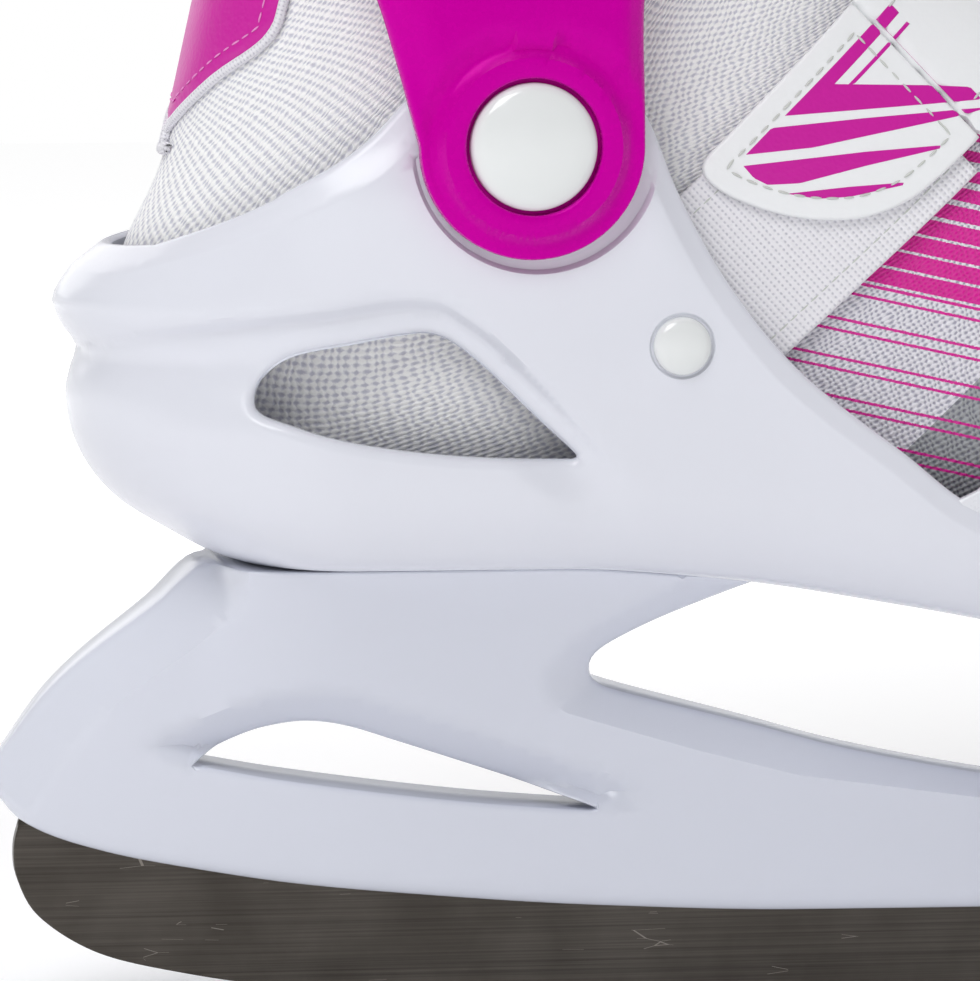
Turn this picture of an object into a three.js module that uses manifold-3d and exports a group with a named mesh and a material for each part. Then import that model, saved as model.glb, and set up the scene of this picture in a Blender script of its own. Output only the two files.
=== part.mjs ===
// Size-adjustable child's ice skate, right foot.
// Millimetres. +X runs to the toe, +Y to the inner side of the foot, +Z up.
// The origin is on the ice, on the centre plane, halfway along the skate.
import * as THREE from 'three';
import { mergeVertices } from 'three/addons/utils/BufferGeometryUtils.js';
import Module from 'manifold-3d';

const wasm = await Module();
wasm.setup();

// ---------------------------------------------------------------- driving dimensions

const skateLength = 296; // tip to tip of the blade holder
const lengthShare = skateLength / 296; // places along the skate move in or out with its length
const shellWidth = 94; // over the ball of the foot
const widthShare = shellWidth / 94;
const gap = 0.3; // between pieces that rest on each other

const shellWall = 3; // side walls and floor of the base shell
const toeWall = 2.4; // walls of the sliding toe shell
const toeFloor = 2;
const slideGap = 0.4; // running gap of the toe shell in the base shell
const toeTravel = 20; // smallest size to largest size

const bladeThickness = 3.5;
const bladeDepth = 7; // how deep the steel sits in the holder
const railWidth = 16; // holder at the blade

const pivotX = -65.9 * lengthShare; // ankle pivot
const pivotZ = 141.7;
const pivotShankRadius = 4;
const pivotCapRadius = 10;
const lugRadius = 17.7;
const lugThickness = 4;
const washerThickness = 0.8;
const washerRadius = 12;
const headRadius = 8; // the pivot pin's head, inside the shell
const headThickness = 1.4;
const cuffWall = 3.2;
const cuffInside = 42.4; // half the width between the cuff's arms

const linerWall = 5;
const soleThickness = 5;
const tapeThickness = 1.2;
const strapThickness = 1.5;
const strapWidth = 26.6;
const tapeWidth = 30;
const patchThickness = 1.2;

const rivetX = -41.7 * lengthShare; // strap anchor on each side of the base shell
const rivetZ = 110.1;
const rivetCapRadius = 4.6;
const rivetShankRadius = 2.2;

const screwRadius = 2.2;
const screwHeadRadius = 4.3;
const screwLength = 15;
const screwSpacing = 26; // across the skate

const buttonRadius = 4.6;
const buttonX = 64 * lengthShare;
const buttonRest = 1.2; // how far the released button stands off the toe shell

const ladderWidth = 20;
const ladderThickness = 2.2;
const buckleWidth = 27;
const leverLength = 46;
const pinRadius = 1.6;

// ---------------------------------------------------------------- colours

const paints = {
  steel: { color: 0x5a544d, roughness: 0.35, metalness: 1 },
  shellWhite: { color: 0xdde1ea, roughness: 0.22, metalness: 0 },
  capWhite: { color: 0xe4e6e8, roughness: 0.18, metalness: 0 },
  magenta: { color: 0xc4069a, roughness: 0.25, metalness: 0 },
  knit: { color: 0xe6e8ec, roughness: 0.9, metalness: 0 },
  lining: { color: 0xc9ccd3, roughness: 0.95, metalness: 0 },
  print: { color: 0xd9199f, roughness: 0.85, metalness: 0 },
  leather: { color: 0xeceef0, roughness: 0.5, metalness: 0 },
  webbing: { color: 0xd9dade, roughness: 0.9, metalness: 0 },
  zinc: { color: 0xa9abad, roughness: 0.4, metalness: 1 },
  foam: { color: 0x45484d, roughness: 0.95, metalness: 0 },
};

// ---------------------------------------------------------------- helpers

const lengthways = (x) => x * lengthShare;
const widthways = (y) => y * widthShare;

// Straight-line interpolation through a short list of [position, value] stops.
function follow(stops, at) {
  if (at <= stops[0][0]) return stops[0][1];
  for (let i = 1; i < stops.length; i++) {
    const [a, va] = stops[i - 1];
    const [b, vb] = stops[i];
    if (at <= b) return va + ((vb - va) * (at - a)) / (b - a);
  }
  return stops[stops.length - 1][1];
}

// The same stops with their positions stretched to the skate's length.
function stretched(stops) {
  return stops.map(([x, v]) => [lengthways(x), v]);
}

function signedVolume(geometry) {
  const p = geometry.getAttribute('position');
  const index = geometry.getIndex();
  const [a, b, c] = [new THREE.Vector3(), new THREE.Vector3(), new THREE.Vector3()];
  let sum = 0;
  for (let i = 0; i < index.count; i += 3) {
    a.fromBufferAttribute(p, index.getX(i));
    b.fromBufferAttribute(p, index.getX(i + 1));
    c.fromBufferAttribute(p, index.getX(i + 2));
    sum += a.dot(b.cross(c)) / 6;
  }
  return sum;
}

// Turns a closed geometry into a solid that can be cut and joined.
function solid(geometry) {
  const bare = geometry.clone();
  bare.deleteAttribute('normal');
  bare.deleteAttribute('uv');
  const merged = mergeVertices(bare, 1e-4);
  const triVerts = Uint32Array.from(merged.getIndex().array);
  if (signedVolume(merged) < 0) triVerts.reverse();
  const vertProperties = Float32Array.from(merged.getAttribute('position').array);
  return new wasm.Manifold(new wasm.Mesh({ numProp: 3, vertProperties, triVerts }));
}

function geometryOf(body) {
  const { vertProperties, triVerts } = body.getMesh();
  const geometry = new THREE.BufferGeometry();
  geometry.setAttribute('position', new THREE.BufferAttribute(vertProperties, 3));
  geometry.setIndex(new THREE.BufferAttribute(triVerts, 1));
  geometry.computeVertexNormals();
  return geometry;
}

function outline(points) {
  return new THREE.Shape(points.map(([a, b]) => new THREE.Vector2(a, b)));
}

// The span along Y from near to far on the outer (-1) or inner (1) side of the foot.
const sideSpan = (side, near, far) => (side < 0 ? [-far, -near] : [near, far]);

// A side view outline in X and Z, given thickness along Y.
function sideSlab(points, yLow, yHigh) {
  const geometry = new THREE.ExtrudeGeometry(outline(points), { depth: yHigh - yLow, bevelEnabled: false });
  geometry.rotateX(Math.PI / 2);
  geometry.translate(0, yHigh, 0);
  return solid(geometry);
}

// A round bar along Y, centred on a point in the side view.
function crossBar(x, z, radius, yLow, yHigh, sides = 24) {
  const geometry = new THREE.CylinderGeometry(radius, radius, yHigh - yLow, sides);
  geometry.translate(x, (yLow + yHigh) / 2, z);
  return solid(geometry);
}

function uprightBar(x, y, radius, zLow, zHigh, sides = 20) {
  const geometry = new THREE.CylinderGeometry(radius, radius, zHigh - zLow, sides);
  geometry.rotateX(Math.PI / 2);
  geometry.translate(x, y, (zLow + zHigh) / 2);
  return solid(geometry);
}

// A turned piece from a radius and height profile, its axis along Z.
function turned(profile, sides = 32) {
  return new THREE.LatheGeometry(profile.map(([r, h]) => new THREE.Vector2(r, h)), sides).rotateX(Math.PI / 2);
}

// Joins closed rings of equal point counts and closes both ends.
function loft(rings) {
  const count = rings[0].length;
  const positions = rings.flat().flatMap((p) => [p.x, p.y, p.z]);
  const index = [];
  for (let r = 0; r + 1 < rings.length; r++) {
    for (let i = 0; i < count; i++) {
      const a = r * count + i;
      const b = r * count + ((i + 1) % count);
      index.push(a, b, b + count, a, b + count, a + count);
    }
  }
  const ends = [
    [0, 0],
    [rings.length - 1, 1],
  ];
  for (const [r, flip] of ends) {
    const middle = new THREE.Vector3();
    rings[r].forEach((p) => middle.addScaledVector(p, 1 / count));
    const hub = positions.length / 3;
    positions.push(middle.x, middle.y, middle.z);
    for (let i = 0; i < count; i++) {
      const a = r * count + i;
      const b = r * count + ((i + 1) % count);
      if (flip) index.push(hub, a, b);
      else index.push(hub, b, a);
    }
  }
  const geometry = new THREE.BufferGeometry();
  geometry.setAttribute('position', new THREE.Float32BufferAttribute(positions, 3));
  geometry.setIndex(index);
  return geometry;
}

const skate = new THREE.Group();

function place(name, shape, paint, parent = skate) {
  const geometry = shape.isBufferGeometry ? shape : geometryOf(shape);
  const mesh = new THREE.Mesh(geometry, new THREE.MeshStandardMaterial(paints[paint]));
  mesh.name = name;
  parent.add(mesh);
  return mesh;
}

// ---------------------------------------------------------------- shared lines

// Underside of the shell along the foot: level heel, pitched arch, level ball, lifted toe.
const soleStops = stretched([
  [-59, 73.8],
  [-34, 72],
  [-4, 67.4],
  [30, 61],
  [50, 58.2],
  [85, 56.5],
  [120, 58],
  [148, 63],
]);
const soleZ = (x) => follow(soleStops, x);

// Half width of the base shell's side walls.
const shellHalfStops = stretched([
  [-90, 40.5],
  [-66, 41.4],
  [-30, 42],
  [5, 45],
  [45, 47],
  [88, 47],
]).map(([x, v]) => [x, widthways(v)]);
const cornerRadius = 13; // round edge between the shell's side and its sole

function shellHalf(x, z) {
  const low = THREE.MathUtils.clamp(1 - (z - soleZ(x)) / cornerRadius, 0, 1);
  return follow(shellHalfStops, x) - cornerRadius * (1 - Math.sqrt(1 - low * low));
}

// Back of the heel: a lower lobe, a groove and an upper lobe.
const heelBackStops = [
  [75, -112],
  [79, -120],
  [83, -126.5],
  [87, -130.5],
  [92, -133.5],
  [97, -135.2],
  [101, -135.8],
  [105, -135],
  [107.7, -134.1],
  [110, -135],
  [113, -136.6],
  [115.5, -137.4],
  [118, -136.3],
  [122, -133.3],
  [126, -130],
].map(([z, x]) => [z, lengthways(x)]);
const heelCentre = lengthways(-90); // where the heel's round end starts

// ---------------------------------------------------------------- blade and holder

const bladeFoot = stretched([
  [-143.3, 31.4],
  [-144.3, 26.9],
  [-143.7, 21.6],
  [-140.1, 15.3],
  [-130.4, 9.2],
  [-115.8, 5.5],
  [-100, 2.9],
  [-85, 1.2],
  [-60, 0],
  [70, 0],
  [95, 1.6],
  [118, 6],
  [132, 12],
  [140, 21],
  [143, 31],
]);

const holderFootStops = stretched([
  [-148, 37],
  [-143.6, 32],
  [-130.7, 26.8],
  [-114.5, 23.3],
  [-98.2, 20.6],
  [-81.9, 18.8],
  [-49.1, 16.1],
  [-16, 14.7],
  [60, 14.3],
  [100, 17],
  [125, 23],
  [140, 31],
  [148, 37],
]);

const lockTangs = [
  [-126, 9],
  [-38, 6],
  [30, 6],
  [96, 12],
]; // where the steel reaches further up into the holder, and how far

// The steel's outline in the side view, grown by a clearance for the slot it sits in.
function bladeOutline(grow) {
  const crown = [];
  for (const [x, rise] of [...lockTangs].reverse()) {
    const right = lengthways(x) + 7 + grow;
    const left = lengthways(x) - 7 - grow;
    const level = (at) => follow(holderFootStops, at) + bladeDepth + grow;
    crown.push([right, level(right)], [right - 1.5, level(right) + rise]);
    crown.push([left + 1.5, level(left) + rise], [left, level(left)]);
  }
  const first = bladeFoot[0];
  const last = bladeFoot[bladeFoot.length - 1];
  const mouth = bladeFoot.slice(1, -1).map(([x, z]) => [x + Math.sign(x) * grow, z - 12 * grow]);
  return [
    [first[0] - grow, first[1]],
    ...mouth,
    [last[0] + grow, last[1]],
    [last[0] - 4 + grow, last[1] + 5 + grow],
    ...crown,
    [first[0] + 5 - grow, first[1] + 5 + grow],
  ];
}

place('blade', sideSlab(bladeOutline(0), -bladeThickness / 2, bladeThickness / 2), 'steel');

const holderTopStops = stretched([
  [-148, 40.5],
  [-138.4, 53.3],
  [-122.1, 66.6],
  [-113, 73.5],
  [-59, 73.5],
  [-34, 71.7],
  [-4, 67.1],
  [30, 60.7],
  [50, 57.9],
  [85, 56.2],
  [120, 57.7],
  [128, 57],
  [140, 47.5],
  [148, 39.5],
]);
const holderHalfStops = stretched([
  [-148, 5],
  [-138, 10],
  [-122, 17],
  [-110, 23],
  [-95, 26.5],
  [-20, 26.5],
  [60, 27],
  [105, 27],
  [125, 19],
  [140, 9],
  [148, 5],
]).map(([x, v]) => [x, widthways(v)]);

// One cross-section of the holder: straight at the blade, then flaring to the sole.
function holderRing(x) {
  const foot = follow(holderFootStops, x);
  const top = follow(holderTopStops, x);
  const topHalf = follow(holderHalfStops, x);
  const rail = Math.min(railWidth / 2, topHalf);
  const side = [0, 0.06, 0.3, 0.5, 0.68, 0.85, 1].map((t) => {
    const half = rail + (topHalf - rail) * t ** 2.2 - (t === 0 ? 1.6 : 0);
    return new THREE.Vector3(x, half, foot + (top - foot) * t);
  });
  const other = side.map((p) => new THREE.Vector3(p.x, -p.y, p.z)).reverse();
  return [...side, ...other];
}

// Where each window is in the side view, before the skate's length is applied.
const rearWindow = stretched([
  [-115.5, 40.7],
  [-109.5, 43.9],
  [-102.9, 46.5],
  [-97.3, 47.2],
  [-90.7, 46.3],
  [-81.8, 43.4],
  [-50.2, 32.4],
  [-68.7, 33.6],
  [-101.3, 38],
]);
const frontWindow = stretched([
  [-51.4, 55.9],
  [-50.9, 57.9],
  [-48.1, 60.3],
  [-40.7, 64.3],
  [-22, 73],
  [-22, 90],
  [38, 90],
  [50, 58.5],
  [57, 50],
  [58, 42],
  [52, 36.5],
  [40, 34],
  [14.2, 36.6],
  [-7.5, 41],
  [-24.2, 45.6],
  [-50.3, 53.3],
]);

const holderStations = [
  -148, -143.6, -138.4, -130.7, -122.1, -113, -98.2, -81.9, -59, -49.1, -34, -16, -4, 30, 50, 60, 85, 100, 110,
  120, 128, 134, 140, 148,
].map(lengthways);
const screwPlaces = [
  ['screw_rear_outer', lengthways(-84), -1],
  ['screw_rear_inner', lengthways(-84), 1],
  ['screw_front_outer', lengthways(74), -1],
  ['screw_front_inner', lengthways(74), 1],
];

let holder = solid(loft(holderStations.map(holderRing)));
holder = holder.subtract(sideSlab(rearWindow, -60, 60));
holder = holder.subtract(sideSlab(frontWindow, -60, 60));
const slotHalf = bladeThickness / 2 + gap;
holder = holder.subtract(sideSlab(bladeOutline(gap), -slotHalf, slotHalf));
for (const [, x, side] of screwPlaces) {
  const y = (side * screwSpacing) / 2;
  holder = holder.subtract(uprightBar(x, y, screwRadius + gap, soleZ(x) - screwLength - 1, soleZ(x) + 5));
}
place('blade_holder', holder, 'shellWhite');

for (const [name, x, side] of screwPlaces) {
  const y = (side * screwSpacing) / 2;
  const screw = turned([
    [0, -screwLength],
    [screwRadius * 0.6, -screwLength],
    [screwRadius, -screwLength + 2],
    [screwRadius, 1.2],
    [screwHeadRadius, 1.2],
    [screwHeadRadius, 2.3],
    [screwHeadRadius - 0.8, 2.8],
    [0, 2.8],
  ], 20);
  place(name, screw, 'zinc').position.set(x, y, soleZ(x));
}

// ---------------------------------------------------------------- base shell

const shellFront = lengthways(86);
const pivotWallOutside = shellHalf(pivotX, pivotZ);
const pivotWallInside = shellHalf(pivotX - headRadius, pivotZ) - shellWall; // at the pin head's rear edge
const washerFace = pivotWallOutside - 0.4; // the washer's inner side, in a shallow seat
const shellLevels = [50, 58, 62, 67, 75, 80, 86, 93, 101, 107.7, 111.5, 115.5, 120, 126, 140, 162];

// A level ring of the shell: forward along one side, round the heel, back along the other.
function shellRing(z, inset, front) {
  const sides = stretched([
    [60, 0],
    [30, 0],
    [5, 0],
    [-18, 0],
    [-42, 0],
    [-66, 0],
  ]).map(([x]) => x);
  const points = [front, ...sides].map((x) => new THREE.Vector3(x, -(shellHalf(x, z) - inset), z));
  const reach = heelCentre - follow(heelBackStops, z) - inset;
  const half = shellHalf(heelCentre, z) - inset;
  for (let turn = -90; turn <= 90; turn += 15) {
    const a = THREE.MathUtils.degToRad(turn);
    const away = Math.cos(a) ** 0.92 || 0;
    points.push(new THREE.Vector3(heelCentre - reach * away, half * Math.sin(a), z));
  }
  sides.reverse();
  points.push(...[...sides, front].map((x) => new THREE.Vector3(x, shellHalf(x, z) - inset, z)));
  return points;
}

const rimOutline = stretched([
  [-150, 74],
  [-59, 73.8],
  [-34, 72],
  [-4, 67.4],
  [30, 61],
  [50, 58.2],
  [85, 56.5],
  [90, 56.5],
  [90, 69],
  [60, 71.5],
  [30, 75.5],
  [6.5, 83.4],
  [-6.5, 92.8],
  [-22.6, 105.6],
  [-33.9, 119.5],
  [-41.9, 133.7],
  [-47, 146],
  [-54, 155],
  [-66, 159],
  [-78, 156],
  [-84.9, 148.9],
  [-93.2, 140.8],
  [-109, 132.3],
  [-123.9, 126.5],
  [-150, 126],
]);
const hollowOutline = [
  [lengthways(-160), 73.8 + shellWall],
  ...soleStops.map(([x, z]) => [x, z + shellWall]),
  [lengthways(170), 63 + shellWall],
  [lengthways(170), 180],
  [lengthways(-160), 180],
];
const sideWindow = stretched([
  [-109.4, 102],
  [-107.6, 106.2],
  [-103, 108.3],
  [-85.9, 111.8],
  [-80.5, 111.8],
  [-71.7, 105.6],
  [-57.4, 92.5],
  [-73.3, 92.7],
  [-97, 95.9],
  [-107, 98.8],
]);

let shell = solid(loft(shellLevels.map((z) => shellRing(z, 0, shellFront))));
shell = shell.intersect(sideSlab(rimOutline, -80, 80));
let shellHollow = solid(loft(shellLevels.map((z) => shellRing(z, shellWall, shellFront + 20))));
shellHollow = shellHollow.intersect(sideSlab(hollowOutline, -80, 80));
shell = shell.subtract(shellHollow);
shell = shell.subtract(sideSlab(sideWindow, -80, 80));
shell = shell.subtract(crossBar(pivotX, pivotZ, pivotShankRadius + gap, -80, 80));
for (const side of [-1, 1]) {
  const seat = sideSpan(side, washerFace - gap, 80);
  shell = shell.subtract(crossBar(pivotX, pivotZ, washerRadius + gap, ...seat, 32));
}
shell = shell.subtract(crossBar(rivetX, rivetZ, rivetShankRadius + gap, -80, 80));
for (const [, x, side] of screwPlaces) {
  const y = (side * screwSpacing) / 2;
  shell = shell.subtract(uprightBar(x, y, screwRadius + gap, soleZ(x) - 5, soleZ(x) + 9));
  shell = shell.subtract(uprightBar(x, y, screwHeadRadius + gap, soleZ(x) + 0.9, soleZ(x) + 9));
}
const buttonZ = soleZ(buttonX) + 8;
shell = shell.subtract(crossBar(buttonX, buttonZ, buttonRadius + gap, -80, 0));
place('base_shell', shell, 'shellWhite');

// ---------------------------------------------------------------- toe shell and size button

// Section of a rounded box across the foot at one station.
function boxRing(x, half, low, high, sharpness, steps = 24) {
  const points = [];
  for (let i = 0; i < steps; i++) {
    const a = (2 * Math.PI * (i + 0.5)) / steps;
    const c = Math.cos(a);
    const s = Math.sin(a);
    const y = half * Math.sign(c) * Math.abs(c) ** sharpness;
    const z = (low + high) / 2 + ((high - low) / 2) * Math.sign(s) * Math.abs(s) ** sharpness;
    points.push(new THREE.Vector3(x, y, z));
  }
  return points;
}

const toeBack = 2; // rear edge of the toe shell
const toeStep = shellFront + 0.6; // where the toe shell grows to the base shell's outside
const toeHalfInside = (x) => follow(shellHalfStops, x) - shellWall - slideGap;
const toeTopStops = stretched([
  [0, 126],
  [60, 122],
  [86, 117],
  [105, 113],
  [122, 105],
  [136, 95],
  [144, 86],
  [148, 79],
]);
const toeNoseHalf = stretched([
  [86, 47],
  [104, 45.5],
  [120, 40.5],
  [132, 33],
  [140, 24.5],
  [145, 16],
  [148, 8],
]).map(([x, v]) => [x, widthways(v)]);
const toeNoseLow = stretched([
  [86, 58],
  [120, 58.3],
  [136, 61],
  [144, 65],
  [148, 70],
]);

function toeRings(inset) {
  const low = (x) => soleZ(x) + shellWall + slideGap + (inset ? toeFloor : 0);
  const rings = [];
  const startX = inset ? toeBack - 5 : toeBack;
  for (const x of [startX, ...[30, 60].map(lengthways), toeStep]) {
    rings.push(boxRing(x, toeHalfInside(x) - inset, low(x), follow(toeTopStops, x) - inset, 0.42));
  }
  for (const at of [90, 104, 120, 132, 140, 145, 148]) {
    const x = lengthways(at);
    const bottom = inset ? Math.max(low(x), follow(toeNoseLow, x) + toeWall) : follow(toeNoseLow, x);
    const half = follow(toeNoseHalf, x) - inset;
    const shaped = at > 100 ? 0.42 + ((at - 100) / 48) * 0.4 : 0.42;
    rings.push(boxRing(x - (at > 130 ? inset : 0), half, bottom, follow(toeTopStops, x) - inset, shaped));
  }
  return rings;
}

const toeOpening = [
  [toeBack - 20, 85.5],
  ...stretched([
    [4.5, 85.8],
    [9, 91],
    [30, 98],
    [60, 104.5],
    [78, 110],
    [86, 121],
    [86, 150],
  ]),
  [toeBack - 20, 150],
];
// Behind this line the toe shell is two cheeks, so that its floor never meets the pitched part of the sole.
const cheekRise = 17;
const floorStart = lengthways(38);
const cheekClearance = [
  [toeBack - 20, 40],
  [floorStart, 40],
  [floorStart, soleZ(floorStart) + cheekRise - 8],
  [floorStart - 8, soleZ(floorStart - 8) + cheekRise],
  [toeBack - 20, soleZ(toeBack - 20) + cheekRise],
];
const toeOuter = solid(loft(toeRings(0)));
const toeHollow = solid(loft(toeRings(toeWall)));
let toeShell = toeOuter.subtract(toeHollow).subtract(sideSlab(toeOpening, -80, 80));
toeShell = toeShell.subtract(sideSlab(cheekClearance, -80, 80));
const toeSideY = -toeHalfInside(buttonX);
const dimpleDepth = 0.8;
for (let size = 0; size < 4; size++) {
  const x = buttonX - (size * toeTravel) / 3;
  toeShell = toeShell.subtract(crossBar(x, buttonZ, 2.6, toeSideY - 5, toeSideY + dimpleDepth, 16));
}
place('toe_shell', toeShell, 'capWhite');

const button = turned([
  [0, 0],
  [2.2, 0],
  [2.2, 0.9],
  [buttonRadius, 0.9],
  [buttonRadius, 4.2],
  [buttonRadius - 0.7, 4.9],
  [0, 5.3],
]);
button.rotateX(Math.PI / 2);
place('size_button', button, 'magenta').position.set(buttonX, toeSideY - gap - buttonRest, buttonZ);

// ---------------------------------------------------------------- liner

// Sections of the boot from toe to collar. Each runs from the sole or back (s) to the
// instep or shin (t); half is its half width and flat squares off its sole side.
const underLiner = (x) => soleZ(x) + shellWall + slideGap + toeFloor + 0.6;
const footSections = [
  { s: [143, 3.5], t: [143.5, 76], half: 8, flat: 0.9 },
  { s: [138, 1], t: [139, 85], half: 20, flat: 0.8 },
  { s: [128, 0], t: [130, 95], half: 30.5, flat: 0.7 },
  { s: [110, 0], t: [113, 104], half: 39, flat: 0.5 },
  { s: [88, 0], t: [90, 111], half: 41, flat: 0.46 },
  { s: [64, 0], t: [68, 118], half: 39, flat: 0.46 },
  { s: [40, 0], t: [50, 132], half: 38.5, flat: 0.46 },
  { s: [8, 0], t: [33, 147], half: 37, flat: 0.48 },
  { s: [-25, 0.5], t: [19, 160], half: 35, flat: 0.52 },
  { s: [-68, 0.5], t: [8, 170], half: 33.8, flat: 0.58 },
  { s: [-106, 1.5], t: [0, 177.5], half: 33.4, flat: 0.7 },
].map((section) => ({ ...section, s: [section.s[0], underLiner(lengthways(section.s[0])) + section.s[1]] }));
const shaftSections = [
  { s: [-124, 89.5], t: [-5, 182.5], half: 33.4, flat: 0.9 },
  { s: [-130, 104], t: [-8, 186.5], half: 33.6, flat: 1 },
  { s: [-126.5, 122], t: [-10.5, 191], half: 33.8, flat: 1 },
  { s: [-119.5, 138], t: [-13, 199], half: 34.4, flat: 1 },
  { s: [-114, 161], t: [-13.5, 226], half: 35.2, flat: 1 },
  { s: [-107, 195], t: [-9, 246], half: 36, flat: 1 },
  { s: [-101, 230], t: [-2, 264], half: 37, flat: 1 },
  { s: [-98.5, 262], t: [5, 282], half: 38.5, flat: 1 },
  { s: [-100, 284], t: [10, 293], half: 39.5, flat: 1 },
  { s: [-101, 306], t: [16, 309], half: 39.5, flat: 1 },
];
const front = 0.92; // how round the instep side of each section is
const bootSections = [...footSections, ...shaftSections].map((section) => measured({ front, ...section }));
const collar = bootSections.length - 2; // the last section only shapes the tongue's tip

function measured({ s, t, half, flat, front: round }) {
  return {
    s: new THREE.Vector3(lengthways(s[0]), 0, s[1]),
    t: new THREE.Vector3(lengthways(t[0]), 0, t[1]),
    half: widthways(half),
    flat,
    front: round,
  };
}

// A section as a ring of points, moved outwards by grow (negative moves inwards).
function sectionRing(section, grow, soleGrow = grow, steps = 24) {
  const along = section.t.clone().sub(section.s);
  const reach = along.length() / 2;
  const unit = along.normalize();
  const middle = section.s.clone().add(section.t).multiplyScalar(0.5);
  const points = [];
  for (let i = 0; i < steps; i++) {
    const a = (2 * Math.PI * i) / steps;
    const c = Math.cos(a);
    const s = Math.sin(a);
    const power = c < 0 ? section.flat : section.front;
    const length = Math.sign(c) * Math.abs(c) ** power * (reach + (c < 0 ? soleGrow : grow));
    const across = Math.sign(s) * Math.abs(s) ** power * (section.half + grow);
    points.push(middle.clone().addScaledVector(unit, length).add(new THREE.Vector3(0, across, 0)));
  }
  return points;
}

function mixed(sections, at) {
  const i = Math.min(Math.floor(at), sections.length - 2);
  const [a, b] = [sections[i], sections[i + 1]];
  const share = at - i;
  return {
    s: a.s.clone().lerp(b.s, share),
    t: a.t.clone().lerp(b.t, share),
    half: THREE.MathUtils.lerp(a.half, b.half, share),
    flat: THREE.MathUtils.lerp(a.flat, b.flat, share),
    front: THREE.MathUtils.lerp(a.front, b.front, share),
  };
}

// The solid between two places in a list of sections; a place may lie between two sections.
function sectionSolid(sections, from, to, grow, soleGrow = grow) {
  const places = [from];
  for (let i = Math.ceil(from + 1e-6); i < to - 1e-6; i++) places.push(i);
  places.push(to);
  return solid(loft(places.map((at) => sectionRing(mixed(sections, at), grow, soleGrow))));
}

// A skin that stands off the boot from low to high, as a strap or a patch does.
function bootLayer(from, to, low, high) {
  const under = sectionSolid(bootSections, from - 0.05, to + 0.05, low);
  return sectionSolid(bootSections, from, to, high).subtract(under);
}

function bootTube(from, to, closedToe = false) {
  const inside = closedToe ? from + 0.7 : from - 0.05;
  const hollow = sectionSolid(bootSections, inside, to + 0.05, -linerWall, -soleThickness);
  return sectionSolid(bootSections, from, to, 0).subtract(hollow);
}

const stretchStart = 5.1; // places where the liner is divided
const stretchEnd = 6;
const ankleStart = 13;
const ankleEnd = 14.8;
const seam = 0.02; // a seam's gap, as a share of the distance between two sections

const throat = sideSlab(
  stretched([
    [30, 118],
    [42, 160],
    [60, 330],
    [-45, 330],
    [-45, 205],
    [-20, 165],
    [-5, 150],
  ]),
  -14,
  14,
);

place('liner_toe', bootTube(0, stretchStart - seam, true), 'knit');
place('liner_stretch', bootTube(stretchStart, stretchEnd - seam), 'print');
place('liner_boot', bootTube(stretchEnd, ankleStart - seam).subtract(throat), 'knit');
place('liner_ankle', bootTube(ankleStart, ankleEnd - seam).subtract(throat), 'knit');
place('liner_shaft', bootTube(ankleEnd, collar).subtract(throat), 'knit');

const tongueThickness = 5;
const tongueLow = -linerWall - gap;
const tongueRegion = sideSlab(
  stretched([
    [80, 100],
    [90, 330],
    [-38, 330],
    [-38, 230],
    [-34, 190],
    [-16, 162],
    [20, 132],
    [44, 106],
  ]),
  -24,
  24,
);
const tongueLayer = (from, to) => bootLayer(from, to, tongueLow - tongueThickness, tongueLow);
place('tongue_lower', tongueLayer(stretchEnd + 0.2, ankleStart - seam).intersect(tongueRegion), 'lining');
place('tongue_upper', tongueLayer(ankleEnd, collar + 0.8).intersect(tongueRegion), 'lining');

function insoleRing([x, half]) {
  const low = underLiner(x) + soleThickness + 2.6;
  return [
    new THREE.Vector3(x, -half, low),
    new THREE.Vector3(x, half, low),
    new THREE.Vector3(x, half, low + 3.5),
    new THREE.Vector3(x, -half, low + 3.5),
  ];
}
const insoleStops = stretched([
  [-104, 7],
  [-96, 12],
  [-80, 16],
  [-60, 18],
  [-20, 18.5],
  [20, 21],
  [60, 24],
]);
place('insole', loft(insoleStops.map(insoleRing)), 'foam');

const patchOutline = stretched([
  [-160, 138.5],
  [-121, 138.5],
  [-119.4, 142.7],
  [-117, 146.9],
  [-112.2, 152.1],
  [-104.3, 158.7],
  [-102.9, 162.5],
  [-98, 184],
  [-92, 210],
  [-90, 232],
  [-95, 243],
  [-160, 243],
]);
const patch = bootLayer(ankleStart + 0.4, collar, gap, gap + patchThickness);
place('heel_patch', patch.intersect(sideSlab(patchOutline, -60, 60)), 'print');

const tabTop = 303;
const tabLow = 267;
const pullTab = new THREE.BoxGeometry(2.2, 18, tabTop - tabLow);
place('pull_tab', pullTab, 'webbing').position.set(lengthways(-100) - 1.5, 0, (tabTop + tabLow) / 2);

// ---------------------------------------------------------------- instep strap

// The strap lies in a plane square to the instep, through the two strap rivets.
const strapAngle = THREE.MathUtils.degToRad(42.6);
const strapUp = [Math.cos(strapAngle), Math.sin(strapAngle)];
const strapOver = [Math.sin(strapAngle), -Math.cos(strapAngle)];
const onStrap = ([t, s]) => [
  rivetX + strapUp[0] * t + strapOver[0] * s,
  rivetZ + strapUp[1] * t + strapOver[1] * s,
];
const strapLow = -strapWidth / 2 - 2;
const strapHigh = strapWidth / 2 - 2;
const tapeLow = -tapeWidth / 2 - 1.7;
const tapeHigh = tapeWidth / 2 - 1.7;
const strapEnd = 58; // where the free end starts to peel away from the instep
const tapeOffset = 1.2;
const strapOffset = tapeOffset + tapeThickness + gap;

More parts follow.
